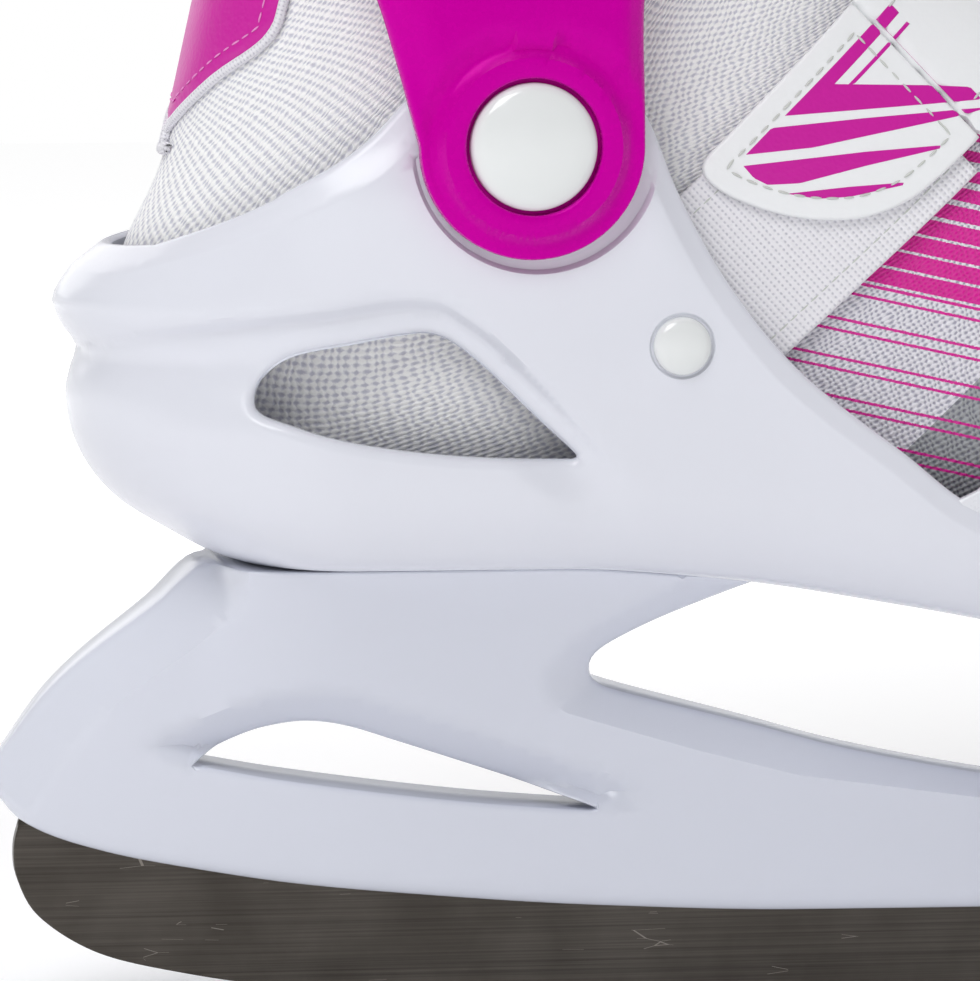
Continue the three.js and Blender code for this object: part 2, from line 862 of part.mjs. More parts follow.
const strapSkin = bootLayer(3.5, 14, strapOffset, strapOffset + strapThickness);
const strapBand = (from, to, yLow, yHigh) =>
  sideSlab(
    [
      [from, strapLow],
      [from, strapHigh],
      [to, strapHigh],
      [to, strapLow],
    ].map(onStrap),
    yLow,
    yHigh,
  );
const rivetHole = crossBar(rivetX, rivetZ, rivetShankRadius + gap, -80, 80);
const overInstep = strapBand(strapEnd + gap, 130, -80, 80).add(strapBand(-8, strapEnd + 2, 0, 80));
place('instep_strap', strapSkin.intersect(overInstep).subtract(rivetHole), 'leather');

const tabOutline = [
  [strapEnd, strapLow],
  [21, strapLow],
  [21.5, strapLow + 5.8],
  [27, strapLow + 14],
  [34, strapHigh - 6],
  [42.5, strapHigh - 1.1],
  [52, strapHigh],
  [strapEnd, strapHigh],
].map(onStrap);
place('strap_tab', strapSkin.intersect(sideSlab(tabOutline, -80, 0)), 'leather');

const tapeOutline = [
  [-8, tapeLow],
  [-8, tapeHigh],
  [54, tapeHigh],
  [54, tapeLow],
].map(onStrap);
const tape = bootLayer(3.5, 14, tapeOffset, tapeOffset + tapeThickness);
place('loop_tape', tape.intersect(sideSlab(tapeOutline, -80, 0)).subtract(rivetHole), 'webbing');

const rivetSeat = shellHalf(rivetX, rivetZ) + gap;
const rivetReach = 6.6;
for (const [name, side] of [
  ['strap_rivet_outer', -1],
  ['strap_rivet_inner', 1],
]) {
  const rivet = turned([
    [0, -rivetReach],
    [rivetShankRadius, -rivetReach],
    [rivetShankRadius, 0],
    [rivetCapRadius, 0],
    [rivetCapRadius, 0.6],
    [rivetCapRadius * 0.8, 1.3],
    [0, 1.7],
  ], 28);
  rivet.rotateX((-side * Math.PI) / 2);
  place(name, rivet, 'capWhite').position.set(rivetX, side * rivetSeat, rivetZ);
}

// Webbing loops along both edges of the throat, for a lace.
const loopPlaces = [6.35, 7, 10.6];
const loopHalf = 4.5;
const loopThickness = 1.1;
const loopLength = 6;
const loopLift = 1.7 * widthShare ** 2;
const alongInstep = new THREE.Vector3(1, 0, -1).normalize();
for (const [sideName, side] of [
  ['outer', -1],
  ['inner', 1],
]) {
  loopPlaces.forEach((at, i) => {
    const section = mixed(bootSections, at);
    const seat = sectionRing(section, 0.9)[side > 0 ? 2 : 22];
    const arch = new THREE.Shape();
    arch.moveTo(-loopHalf, 0);
    arch.absarc(0, 0, loopHalf, Math.PI, 0, true);
    arch.lineTo(loopHalf - loopThickness, 0);
    arch.absarc(0, 0, loopHalf - loopThickness, 0, Math.PI, false);
    const loop = new THREE.ExtrudeGeometry(arch, { depth: loopLength, bevelEnabled: false, curveSegments: 8 });
    loop.translate(0, 0, -loopLength / 2);
    const inside = section.s.clone().lerp(section.t, 0.72);
    const outward = seat.clone().sub(inside).projectOnPlane(alongInstep).normalize();
    const across = new THREE.Vector3().crossVectors(outward, alongInstep).normalize();
    loop.applyMatrix4(new THREE.Matrix4().makeBasis(across, outward, alongInstep));
    place(`lace_loop_${sideName}_${i + 1}`, loop, 'webbing').position.copy(seat.addScaledVector(outward, loopLift));
  });
}

// ---------------------------------------------------------------- cuff and ankle pivots

const cuffSections = [
  { s: [-138, 108], t: [8, 108], half: cuffInside, flat: 0.42, front: 0.42 },
  { s: [-127, 152], t: [12, 160], half: cuffInside, flat: 0.45, front: 0.42 },
  { s: [-114.5, 182], t: [14, 198], half: cuffInside, flat: 0.6, front: 0.5 },
  { s: [-110.3, 200], t: [16, 218], half: 42, flat: 0.72, front: 0.6 },
  { s: [-105.8, 226], t: [20, 246], half: 41.8, flat: 0.78, front: 0.6 },
  { s: [-103.6, 250], t: [26, 268], half: 42.2, flat: 0.78, front: 0.6 },
  { s: [-104.2, 275], t: [30, 290], half: 43.4, flat: 0.78, front: 0.6 },
].map((section) => measured(section));
const cuffOutline = [
  [pivotX + lugRadius, pivotZ],
  ...stretched([
    [-48, 164],
    [-46, 188],
    [-40, 204],
    [-36, 224],
    [-35, 250],
    [-42, 257],
    [-70, 262],
    [-98, 258],
    [-130, 254],
    [-130, 196],
    [-112, 191],
    [-101, 183],
    [-94, 174],
    [-90, 164.6],
    [-87.6, 156.1],
  ]),
  [pivotX - lugRadius, pivotZ],
];
const lastCuffSection = cuffSections.length - 1;
let cuff = sectionSolid(cuffSections, 0, lastCuffSection, cuffWall);
cuff = cuff.subtract(sectionSolid(cuffSections, 0, lastCuffSection + 0.05, 0));
cuff = cuff.intersect(sideSlab(cuffOutline, -80, 80));
const cuffHalf = widthways(cuffInside);
for (const side of [-1, 1]) {
  cuff = cuff.add(crossBar(pivotX, pivotZ, lugRadius, ...sideSpan(side, cuffHalf, cuffHalf + lugThickness), 40));
}
cuff = cuff.subtract(crossBar(pivotX, pivotZ, pivotShankRadius + gap, -80, 80));

for (const [sideName, side] of [
  ['outer', -1],
  ['inner', 1],
]) {
  const outside = cuffHalf + lugThickness;
  const pin = turned([
    [0, pivotWallInside - gap - headThickness],
    [headRadius, pivotWallInside - gap - headThickness],
    [headRadius, pivotWallInside - gap],
    [pivotShankRadius, pivotWallInside - gap],
    [pivotShankRadius, outside + 0.2],
    [0, outside + 0.2],
  ], 28);
  const washer = turned([
    [pivotShankRadius + gap, washerFace],
    [washerRadius, washerFace],
    [washerRadius, washerFace + washerThickness],
    [pivotShankRadius + gap, washerFace + washerThickness],
    [pivotShankRadius + gap, washerFace],
  ], 32);
  const cap = turned([
    [0, outside + 0.5],
    [pivotCapRadius, outside + 0.5],
    [pivotCapRadius, outside + 1.4],
    [pivotCapRadius - 0.8, outside + 2.2],
    [pivotCapRadius * 0.6, outside + 2.9],
    [0, outside + 3.2],
  ], 40);
  for (const [part, shape, paint] of [
    ['pin', pin, 'zinc'],
    ['washer', washer, 'foam'],
    ['cap', cap, 'capWhite'],
  ]) {
    shape.rotateX((-side * Math.PI) / 2);
    place(`pivot_${part}_${sideName}`, shape, paint).position.set(pivotX, 0, pivotZ);
  }
}

// ---------------------------------------------------------------- buckle and ladder strap

// The buckle's own frame: x forward across the shin, y to the inner side, z up the shin.
const buckleLean = THREE.MathUtils.degToRad(10);
const buckle = new THREE.Group();
buckle.position.set(lengthways(-56), 0, 232);
buckle.rotation.y = buckleLean;
skate.add(buckle);

const plateFace = widthways(41.8) + cuffWall + 0.5; // where the buckle's plate rests on the cuff
const plateThickness = 1.8;
const plateLength = 40;
const plateX = -2;
const earHeight = 9;
const earThickness = 1.5;
const strapRest = plateFace + plateThickness + 0.4; // under side of the ladder strap
const leverX = 11;
const leverY = -(strapRest + ladderThickness + 4);
const pawlX = -11;
const pawlY = -(strapRest + ladderThickness + 3.2);

function block(x0, x1, y0, y1, z0, z1) {
  const geometry = new THREE.BoxGeometry(x1 - x0, y1 - y0, z1 - z0);
  geometry.translate((x0 + x1) / 2, (y0 + y1) / 2, (z0 + z1) / 2);
  return solid(geometry);
}

// A plan outline in x and y, given height along z.
function planSlab(points, zLow, zHigh) {
  const geometry = new THREE.ExtrudeGeometry(outline(points), { depth: zHigh - zLow, bevelEnabled: false });
  geometry.translate(0, 0, zLow);
  return solid(geometry);
}

const plateBack = plateX - plateLength / 2;
const plateFront = plateX + plateLength / 2;
const earEdge = -(plateFace + plateThickness + earHeight);
const earOutline = [
  [plateBack, -plateFace],
  [plateBack + 2, earEdge + 5],
  [pawlX - 5, earEdge + 3],
  [leverX - 6, earEdge],
  [leverX + 3, earEdge],
  [plateFront, earEdge + 5],
  [plateFront, -plateFace],
];
const earInside = buckleWidth / 2 - earThickness;
const rivetSpots = [plateBack + 6, plateFront - 6];
let buckleBase = block(plateBack, plateFront, -plateFace - plateThickness, -plateFace, -buckleWidth / 2, buckleWidth / 2);
buckleBase = buckleBase.add(planSlab(earOutline, earInside, buckleWidth / 2));
buckleBase = buckleBase.add(planSlab(earOutline, -buckleWidth / 2, -earInside));
buckleBase = buckleBase.subtract(uprightBar(leverX, leverY, pinRadius + gap, -20, 20));
buckleBase = buckleBase.subtract(uprightBar(pawlX, pawlY, pinRadius + gap, -20, 20));
for (const x of rivetSpots) {
  buckleBase = buckleBase.subtract(crossBar(x, 0, 1.5 + gap, -80, 0, 20));
  buckleBase = buckleBase.subtract(crossBar(x, 0, 3.5, -plateFace - plateThickness - 1, -plateFace - 0.5, 20));
}
place('buckle_base', buckleBase, 'magenta', buckle);

const pinHalf = buckleWidth / 2 - 0.2;
const pinShape = () => new THREE.CylinderGeometry(pinRadius, pinRadius, 2 * pinHalf, 20).rotateX(Math.PI / 2);
place('lever_pin', pinShape(), 'zinc', buckle).position.set(leverX, leverY, 0);
place('pawl_pin', pinShape(), 'zinc', buckle).position.set(pawlX, pawlY, 0);

const leverHub = 3.3;
const leverHalf = earInside - 0.5;
const leverOutline = [
  [leverX + 1, leverY - leverHub],
  [leverX + leverHub, leverY - 1],
  [leverX + leverHub, leverY + 1],
  [leverX + 1, leverY + leverHub],
  [leverX - 2, leverY + leverHub],
  [leverX - leverHub - 1, leverY + 0.6],
  [leverX - 12, leverY - 1.4],
  [leverX - leverLength * 0.6, leverY - 1.7],
  [leverX - leverLength, leverY - 3.6],
  [leverX - leverLength, leverY - 6.2],
  [leverX - leverLength * 0.6, leverY - 4.8],
  [leverX - 8, leverY - 4.8],
];
let lever = planSlab(leverOutline, -leverHalf, leverHalf);
lever = lever.subtract(uprightBar(leverX, leverY, pinRadius + gap, -20, 20));
place('buckle_lever', lever, 'magenta', buckle);

const pawlHub = 2.6;
const pawlHalf = leverHalf - 2;
const pawlOutline = [
  [pawlX + pawlHub, pawlY - 1.2],
  [pawlX + pawlHub + 2.2, pawlY + 2.4],
  [pawlX + pawlHub - 0.4, pawlY + 2.1],
  [pawlX - 1, pawlY + pawlHub],
  [pawlX - pawlHub, pawlY + 1.2],
  [pawlX - 13, pawlY + 0.4],
  [pawlX - 13, pawlY - 1.4],
  [pawlX - pawlHub, pawlY - 1.2],
  [pawlX - 1, pawlY - pawlHub + 0.2],
];
let pawl = planSlab(pawlOutline, -pawlHalf, pawlHalf);
pawl = pawl.subtract(uprightBar(pawlX, pawlY, pinRadius + gap, -20, 20));
place('buckle_pawl', pawl, 'capWhite', buckle);

const ladderMiddle = strapRest + ladderThickness / 2;
const ladderInner = plateFace + 0.2 + ladderThickness / 2;
const shin = lengthways(52);
const ladderPath = new THREE.CatmullRomCurve3(
  [
    [plateBack + 1, -ladderMiddle],
    [-6, -ladderMiddle],
    [plateFront - 6, -ladderMiddle],
    [plateFront + 7, -ladderMiddle + 1.5],
    [shin - 16, -ladderMiddle + 9],
    [shin - 6, -27],
    [shin - 1, -13],
    [shin, 0],
    [shin - 1, 13],
    [shin - 6, 27],
    [shin - 16, ladderInner - 8],
    [plateFront + 6, ladderInner - 0.5],
    [10, ladderInner],
    [-10, ladderInner],
  ].map(([x, y]) => new THREE.Vector3(x, y, 0)),
);
const ladderSteps = 44;
const ladderEdge = (shift) => {
  const edge = [];
  for (let i = 0; i <= ladderSteps; i++) {
    const p = ladderPath.getPointAt(i / ladderSteps);
    const d = ladderPath.getTangentAt(i / ladderSteps);
    edge.push([p.x + d.y * shift, p.y - d.x * shift]);
  }
  return edge;
};
let ladder = planSlab(
  [...ladderEdge(ladderThickness / 2), ...ladderEdge(-ladderThickness / 2).reverse()],
  -ladderWidth / 2,
  ladderWidth / 2,
);
const ladderRivetX = -3;
ladder = ladder.subtract(crossBar(ladderRivetX, 0, 1.5 + gap, 20, 80, 20));
place('ladder_strap', ladder, 'magenta', buckle);

// A shape from the buckle's frame, as it stands in the skate's frame.
function inSkate(body) {
  buckle.updateMatrix();
  return solid(geometryOf(body).applyMatrix4(buckle.matrix));
}

// Rivets hold the buckle and the fixed end of the ladder strap to the cuff.
const rivetShank = 1.5;
const cuffRivets = [
  ['buckle_rivet_rear', rivetSpots[0], -1, plateFace + 0.7],
  ['buckle_rivet_front', rivetSpots[1], -1, plateFace + 0.7],
  ['ladder_rivet', ladderRivetX, 1, ladderInner + ladderThickness / 2 + gap],
];
for (const [name, x, side, seat] of cuffRivets) {
  const rivet = turned([
    [0, -6],
    [rivetShank, -6],
    [rivetShank, 0],
    [3.1, 0],
    [2.7, 1],
    [0, 1],
  ], 20);
  rivet.rotateX((-side * Math.PI) / 2);
  place(name, rivet, 'zinc', buckle).position.set(x, side * seat, 0);
  cuff = cuff.subtract(inSkate(crossBar(x, 0, rivetShank + gap, ...sideSpan(side, 20, 70), 20)));
}
place('cuff', cuff, 'magenta');

export default skate;
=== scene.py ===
import math
import bpy
import bmesh
import numpy as np
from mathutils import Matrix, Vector
from mathutils.geometry import delaunay_2d_cdt


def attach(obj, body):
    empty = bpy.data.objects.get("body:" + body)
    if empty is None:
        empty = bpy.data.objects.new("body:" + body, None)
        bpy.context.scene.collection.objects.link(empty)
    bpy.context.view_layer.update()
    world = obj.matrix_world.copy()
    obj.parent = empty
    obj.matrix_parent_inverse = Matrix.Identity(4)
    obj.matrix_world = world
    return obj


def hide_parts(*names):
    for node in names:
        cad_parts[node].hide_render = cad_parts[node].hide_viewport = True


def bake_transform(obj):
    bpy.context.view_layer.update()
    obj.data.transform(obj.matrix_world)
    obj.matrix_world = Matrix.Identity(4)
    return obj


# Adjustable ice skate, right foot. Sizes here are millimetres until a mesh is made.
# +X runs to the toe, -Y is the outer side, +Z is up, and the ice is at Z = 0.
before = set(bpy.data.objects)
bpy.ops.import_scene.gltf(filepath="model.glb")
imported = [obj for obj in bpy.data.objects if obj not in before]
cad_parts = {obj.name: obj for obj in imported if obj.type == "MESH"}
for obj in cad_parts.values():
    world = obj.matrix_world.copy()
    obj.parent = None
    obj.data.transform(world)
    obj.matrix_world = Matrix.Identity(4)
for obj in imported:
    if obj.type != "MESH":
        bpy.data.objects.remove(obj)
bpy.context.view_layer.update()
mm = 0.001
coarse = 1.0  # wider mesh spacing while trying things
print("frame loaded")

# numbers that the pieces share
skate = {
    "pivotX": -65.9, "pivotZ": 141.7,
    "rivetX": -41.7, "rivetZ": 110.1,
    "shellWall": 3.0,
    "cornerRadius": 13.0,
    "heelCentre": -90.0,
}


# smooth curve through stops that never overshoots, as a function of an array
def smoothFollow(stops):
    xs = np.array([s[0] for s in stops], float)
    ys = np.array([s[1] for s in stops], float)
    steps = np.diff(xs)
    slopes = np.diff(ys) / steps
    tangents = np.zeros(len(xs))
    tangents[0], tangents[-1] = slopes[0], slopes[-1]
    for i in range(1, len(xs) - 1):
        if slopes[i - 1] * slopes[i] > 0:
            a, b = steps[i - 1], steps[i]
            tangents[i] = 3 * (a + b) / ((2 * b + a) / slopes[i - 1] + (b + 2 * a) / slopes[i])

    def curve(at):
        at = np.clip(np.asarray(at, float), xs[0], xs[-1])
        i = np.clip(np.searchsorted(xs, at, side="right") - 1, 0, len(xs) - 2)
        t = (at - xs[i]) / steps[i]
        t2, t3 = t * t, t * t * t
        level = (2 * t3 - 3 * t2 + 1) * ys[i] + (3 * t2 - 2 * t3) * ys[i + 1]
        return level + ((t3 - 2 * t2 + t) * tangents[i] + (t3 - t2) * tangents[i + 1]) * steps[i]

    return curve


def easeBetween(value, low, high):
    t = np.clip((value - low) / (high - low), 0, 1)
    return t * t * (3 - 2 * t)


def resample(points, spacing, closed):
    pts = np.array(points, float)
    if closed:
        pts = np.vstack([pts, pts[:1]])
    at = np.concatenate([[0], np.cumsum(np.linalg.norm(np.diff(pts, axis=0), axis=1))])
    count = max(4, int(round(at[-1] / spacing)))
    new = np.linspace(0, at[-1], count + 1)
    out = np.column_stack([np.interp(new, at, pts[:, k]) for k in range(pts.shape[1])])
    return out[:-1] if closed else out


# rounded line through a few points, evenly spaced
def smoothRun(points, spacing=1.2, closed=False):
    p = np.array(points, float)
    n = len(p)
    out = []
    for i in range(n if closed else n - 1):
        a = p[i - 1] if closed or i > 0 else 2 * p[0] - p[1]
        b, c = p[i], p[(i + 1) % n]
        d = p[(i + 2) % n] if closed or i + 2 < n else 2 * p[-1] - p[-2]
        for t in np.arange(10) / 10:
            out.append(
                0.5 * (
                    2 * b + (c - a) * t + (2 * a - 5 * b + 4 * c - d) * t * t
                    + (3 * b - a - 3 * c + d) * t ** 3
                )
            )
    if not closed:
        out.append(p[-1])
    return resample(out, spacing, closed)


def distanceTo(points, line, closed=True):
    a = line if closed else line[:-1]
    b = np.roll(line, -1, axis=0) if closed else line[1:]
    best = np.full(len(points), 1e9)
    px, py = points[:, 0], points[:, 1]
    for (ax, ay), (bx, by) in zip(a, b):
        dx, dy = bx - ax, by - ay
        t = np.clip(((px - ax) * dx + (py - ay) * dy) / max(dx * dx + dy * dy, 1e-12), 0, 1)
        best = np.minimum(best, np.hypot(px - ax - t * dx, py - ay - t * dy))
    return best


def insideOf(points, loop):
    inside = np.zeros(len(points), bool)
    px, py = points[:, 0], points[:, 1]
    for (ax, ay), (bx, by) in zip(loop, np.roll(loop, -1, axis=0)):
        if ay == by:
            continue
        crosses = (ay > py) != (by > py)
        inside ^= crosses & (px < (bx - ax) * (py - ay) / (by - ay) + ax)
    return inside


# how far a rounded edge of this radius has dropped at a distance from the edge
def edgeDrop(distance, radius):
    away = np.clip(radius - distance, 0, radius)
    return radius - np.sqrt(np.maximum(radius * radius - away * away, 0))


# triangles over a flat region: loops are its outline and then its holes
def fillRegion(loops, spacing, edge, creases=()):
    loops = [np.array(loop, float) for loop in loops]
    points, borders, base = [], [], 0
    for loop in loops:
        points.append(loop)
        borders += [(base + i, base + (i + 1) % len(loop)) for i in range(len(loop))]
        base += len(loop)
    allRings = np.vstack(loops)
    low, high = loops[0].min(0), loops[0].max(0)

    def within(candidates):
        keep = insideOf(candidates, loops[0])
        for hole in loops[1:]:
            keep &= ~insideOf(candidates, hole)
        return candidates[keep]

    def clearance(candidates):
        best = np.full(len(candidates), 1e9)
        for loop in loops:
            best = np.minimum(best, distanceTo(candidates, loop))
        return best

    for loop in loops:
        run = np.roll(loop, -1, axis=0) - np.roll(loop, 1, axis=0)
        run /= np.maximum(np.linalg.norm(run, axis=1, keepdims=True), 1e-9)
        normal = np.column_stack([-run[:, 1], run[:, 0]])
        for share in (0.12, 0.4, 0.8, 1.35, 2.2):
            for sign in (-1, 1):
                row = within(loop + normal * sign * share * edge)
                if len(row):
                    row = row[clearance(row) > share * edge * 0.9]
                    points.append(row)
    xs = np.arange(low[0], high[0], spacing)
    ys = np.arange(low[1], high[1], spacing * 0.87)
    gx, gy = np.meshgrid(xs, ys)
    gx[1::2] += spacing / 2
    inner = within(np.column_stack([gx.ravel(), gy.ravel()]))
    inner = inner[clearance(inner) > 2.2 * edge + 0.45 * spacing]
    for line in creases:
        line = within(np.asarray(line, float))
        if len(line):
            inner = inner[distanceTo(inner, line, closed=False) > 0.5 * spacing]
            points.append(line[clearance(line) > 0.6])
    points.append(inner)
    allPoints = np.vstack(points)
    rings = len(allRings)
    verts, _, faces, origins, *_ = delaunay_2d_cdt([Vector(p) for p in allPoints], borders, [], 0, 1e-6)
    flat = np.array([(v.x, v.y) for v in verts])
    tris = np.array([f for f in faces if len(f) == 3], int)
    middles = flat[tris].mean(1)
    keep = insideOf(middles, loops[0])
    for hole in loops[1:]:
        keep &= ~insideOf(middles, hole)
    tris = tris[keep]
    place = {}
    for i, origin in enumerate(origins):
        for o in origin:
            place[o] = i
    chains, base = [], 0
    for loop in loops:
        chains.append([place[base + i] for i in range(len(loop))])
        base += len(loop)
    assert rings == base
    return flat, tris, chains


def newObject(name, verts, faces, material, smooth=40, uv=None, mergeAt=0.002, recalc=True):
    mesh = bpy.data.meshes.new(name)
    mesh.from_pydata(
        [tuple(v) for v in np.asarray(verts, float) * mm], [], [tuple(int(i) for i in f) for f in faces]
    )
    if uv is not None:
        layer = mesh.uv_layers.new(name="fabric")
        index = np.zeros(len(mesh.loops), int)
        mesh.loops.foreach_get("vertex_index", index)
        layer.data.foreach_set("uv", np.asarray(uv, float)[index].ravel())
    bm = bmesh.new()
    bm.from_mesh(mesh)
    bmesh.ops.remove_doubles(bm, verts=bm.verts, dist=mergeAt * mm)
    bmesh.ops.dissolve_degenerate(bm, edges=bm.edges, dist=mergeAt * mm * 0.5)
    if recalc:
        bmesh.ops.recalc_face_normals(bm, faces=bm.faces)
    bm.to_mesh(mesh)
    bm.free()
    mesh.shade_smooth()
    if smooth:
        mesh.set_sharp_from_angle(angle=math.radians(smooth))
    obj = bpy.data.objects.new(name, mesh)
    bpy.context.scene.collection.objects.link(obj)
    mesh.materials.append(material)
    return obj


# a line moved sideways by a distance, one for the whole line or one for each point
def offsetRun(line, distance):
    line = np.asarray(line, float)
    run = np.gradient(line, axis=0)
    run /= np.maximum(np.linalg.norm(run, axis=1, keepdims=True), 1e-9)
    return line + np.column_stack([-run[:, 1], run[:, 0]]) * np.broadcast_to(distance, len(line))[:, None]


def circleRun(centre, radius, start=0.0, end=360.0, spacing=0.9):
    count = max(int(math.radians(abs(end - start)) * radius / spacing), 8)
    return np.array(
        [
            (centre[0] + radius * math.cos(a), centre[1] + radius * math.sin(a))
            for a in np.radians(np.linspace(start, end, count, endpoint=abs(end - start) < 359))
        ]
    )


# a wall over a flat region, bent to its place: place(flat) gives outside points, relief(flat, points)
# how far each stands out, and radii the edge radius along each loop
def wallPiece(
        name, loops, place, thickness, material, spacing=2.0, radii=(0.8,), relief=None, openEdge=None,
        innerRadius=0.4, smooth=40, uv=None, creases=()
):
    radii = list(radii) + [radii[-1]] * (len(loops) - len(radii))
    flat, tris, chains = fillRegion(loops, spacing * coarse, max(radii), creases)
    outside = place(flat)
    step = 0.5
    du = place(flat + [step, 0]) - place(flat - [step, 0])
    dv = place(flat + [0, step]) - place(flat - [0, step])
    normal = np.cross(dv, du)
    normal /= np.maximum(np.linalg.norm(normal, axis=1, keepdims=True), 1e-12)
    stand = relief(flat, outside) if relief else np.zeros(len(flat))
    inner = np.full(len(flat), 0.0)
    drop = np.zeros(len(flat))
    for loop, radius in zip(loops, radii):
        away = distanceTo(flat, np.array(loop, float))
        drop = np.maximum(drop, edgeDrop(away, radius))
        inner = np.maximum(inner, edgeDrop(away, innerRadius))
    if openEdge is not None:
        quiet = openEdge(flat)
        drop *= quiet
        inner *= quiet
    count = len(flat)
    top = outside + normal * (stand - drop)[:, None]
    bottom = outside - normal * (thickness - inner)[:, None]
    faces = [tuple(t) for t in tris] + [tuple(count + i for i in reversed(t)) for t in tris]
    for chain, loop in zip(chains, loops):
        loop = np.array(loop, float)
        middles = (loop + np.roll(loop, -1, axis=0)) / 2
        skip = openEdge(middles) < 0.5 if openEdge is not None else np.zeros(len(loop), bool)
        for i, a in enumerate(chain):
            b = chain[(i + 1) % len(chain)]
            if a != b and not skip[i]:
                faces.append((a, b, count + b, count + a))
    coords = None
    if uv is not None:
        pattern = uv(flat, outside)
        coords = np.vstack([pattern, pattern])
    return newObject(name, np.vstack([top, bottom]), faces, material, smooth=smooth, uv=coords)


# a solid between two mirrored side faces: halfAt(flat, outline distance) gives its half width
def pillowPiece(name, loops, halfAt, material, spacing=2.0, edge=1.0, smooth=35, creases=()):
    flat, tris, chains = fillRegion(loops, spacing * coarse, edge, creases)
    away = np.full(len(flat), 1e9)
    for loop in loops:
        away = np.minimum(away, distanceTo(flat, np.array(loop, float)))
    half = halfAt(flat) - edgeDrop(away, edge)
    near = np.column_stack([flat[:, 0], -half, flat[:, 1]])
    far = np.column_stack([flat[:, 0], half, flat[:, 1]])
    count = len(flat)
    faces = [tuple(t) for t in tris] + [tuple(count + i for i in reversed(t)) for t in tris]
    for chain in chains:
        for i, a in enumerate(chain):
            b = chain[(i + 1) % len(chain)]
            if a != b:
                faces.append((a, b, count + b, count + a))
    return newObject(name, np.vstack([near, far]), faces, material, smooth=smooth)


# a piece turned from radius and height points, its axis along Y on one side of the skate
def turnedPiece(name, profile, at, side, material, turns=96, smooth=35):
    verts, faces = [], []
    count = len(profile)
    for i in range(turns):
        a = 2 * math.pi * i / turns
        for r, h in profile:
            verts.append((at[0] + r * math.cos(a), side * h, at[1] + r * math.sin(a)))
    for i in range(turns):
        j = (i + 1) % turns
        for k in range(count - 1):
            faces.append((i * count + k, j * count + k, j * count + k + 1, i * count + k + 1))
    return newObject(name, verts, faces, material, smooth=smooth)


# a surface given by rows of points, read smoothly between them: flat is (column, row) in mm
def gridSurface(rows, perColumn, perRow):
    grid = np.asarray(rows, float)
    high, wide = grid.shape[:2]

    def weights(t):
        t2, t3 = t * t, t * t * t
        return [
            -0.5 * t + t2 - 0.5 * t3, 1 - 2.5 * t2 + 1.5 * t3, 0.5 * t + 2 * t2 - 1.5 * t3,
            0.5 * t3 - 0.5 * t2
        ]

    def place(flat):
        c = np.clip(flat[:, 0] / perColumn, 0, wide - 1.0001)
        r = np.clip(flat[:, 1] / perRow, 0, high - 1.0001)
        ci, ri = c.astype(int), r.astype(int)
        wc, wr = weights(c - ci), weights(r - ri)
        out = np.zeros((len(flat), 3))
        for j in range(4):
            rj = np.clip(ri + j - 1, 0, high - 1)
            for i in range(4):
                cj = np.clip(ci + i - 1, 0, wide - 1)
                out += (wr[j] * wc[i])[:, None] * grid[rj, cj]
        return out

    return place


# where on a grid surface side view points lie, on the outer (-1) or inner (1) side
def findOnGrid(rows, perColumn, perRow, place, sideView, side):
    grid = np.asarray(rows, float)
    high, wide = grid.shape[:2]
    rr, cc = np.meshgrid(np.arange(high), np.arange(wide), indexing="ij")
    keep = grid[..., 1] * side > 0.5
    px, pz = grid[..., 0][keep], grid[..., 2][keep]
    pc, pr = cc[keep] * perColumn, rr[keep] * perRow
    sideView = np.asarray(sideView, float)
    flat = np.zeros((len(sideView), 2))
    for i, (x, z) in enumerate(sideView):
        k = np.argmin((px - x) ** 2 + (pz - z) ** 2)
        flat[i] = pc[k], pr[k]
    for _ in range(8):
        now = place(flat)[:, [0, 2]]
        h = 0.2
        du = (place(flat + [h, 0]) - place(flat - [h, 0]))[:, [0, 2]] / (2 * h)
        dv = (place(flat + [0, h]) - place(flat - [0, h]))[:, [0, 2]] / (2 * h)
        miss = sideView - now
        det = du[:, 0] * dv[:, 1] - du[:, 1] * dv[:, 0]
        det = np.where(np.abs(det) < 0.02, 0.02 * np.sign(det + 1e-12), det)
        a = (miss[:, 0] * dv[:, 1] - miss[:, 1] * dv[:, 0]) / det
        b = (du[:, 0] * miss[:, 1] - du[:, 1] * miss[:, 0]) / det
        flat += np.clip(np.column_stack([a, b]), -3, 3)
    return flat


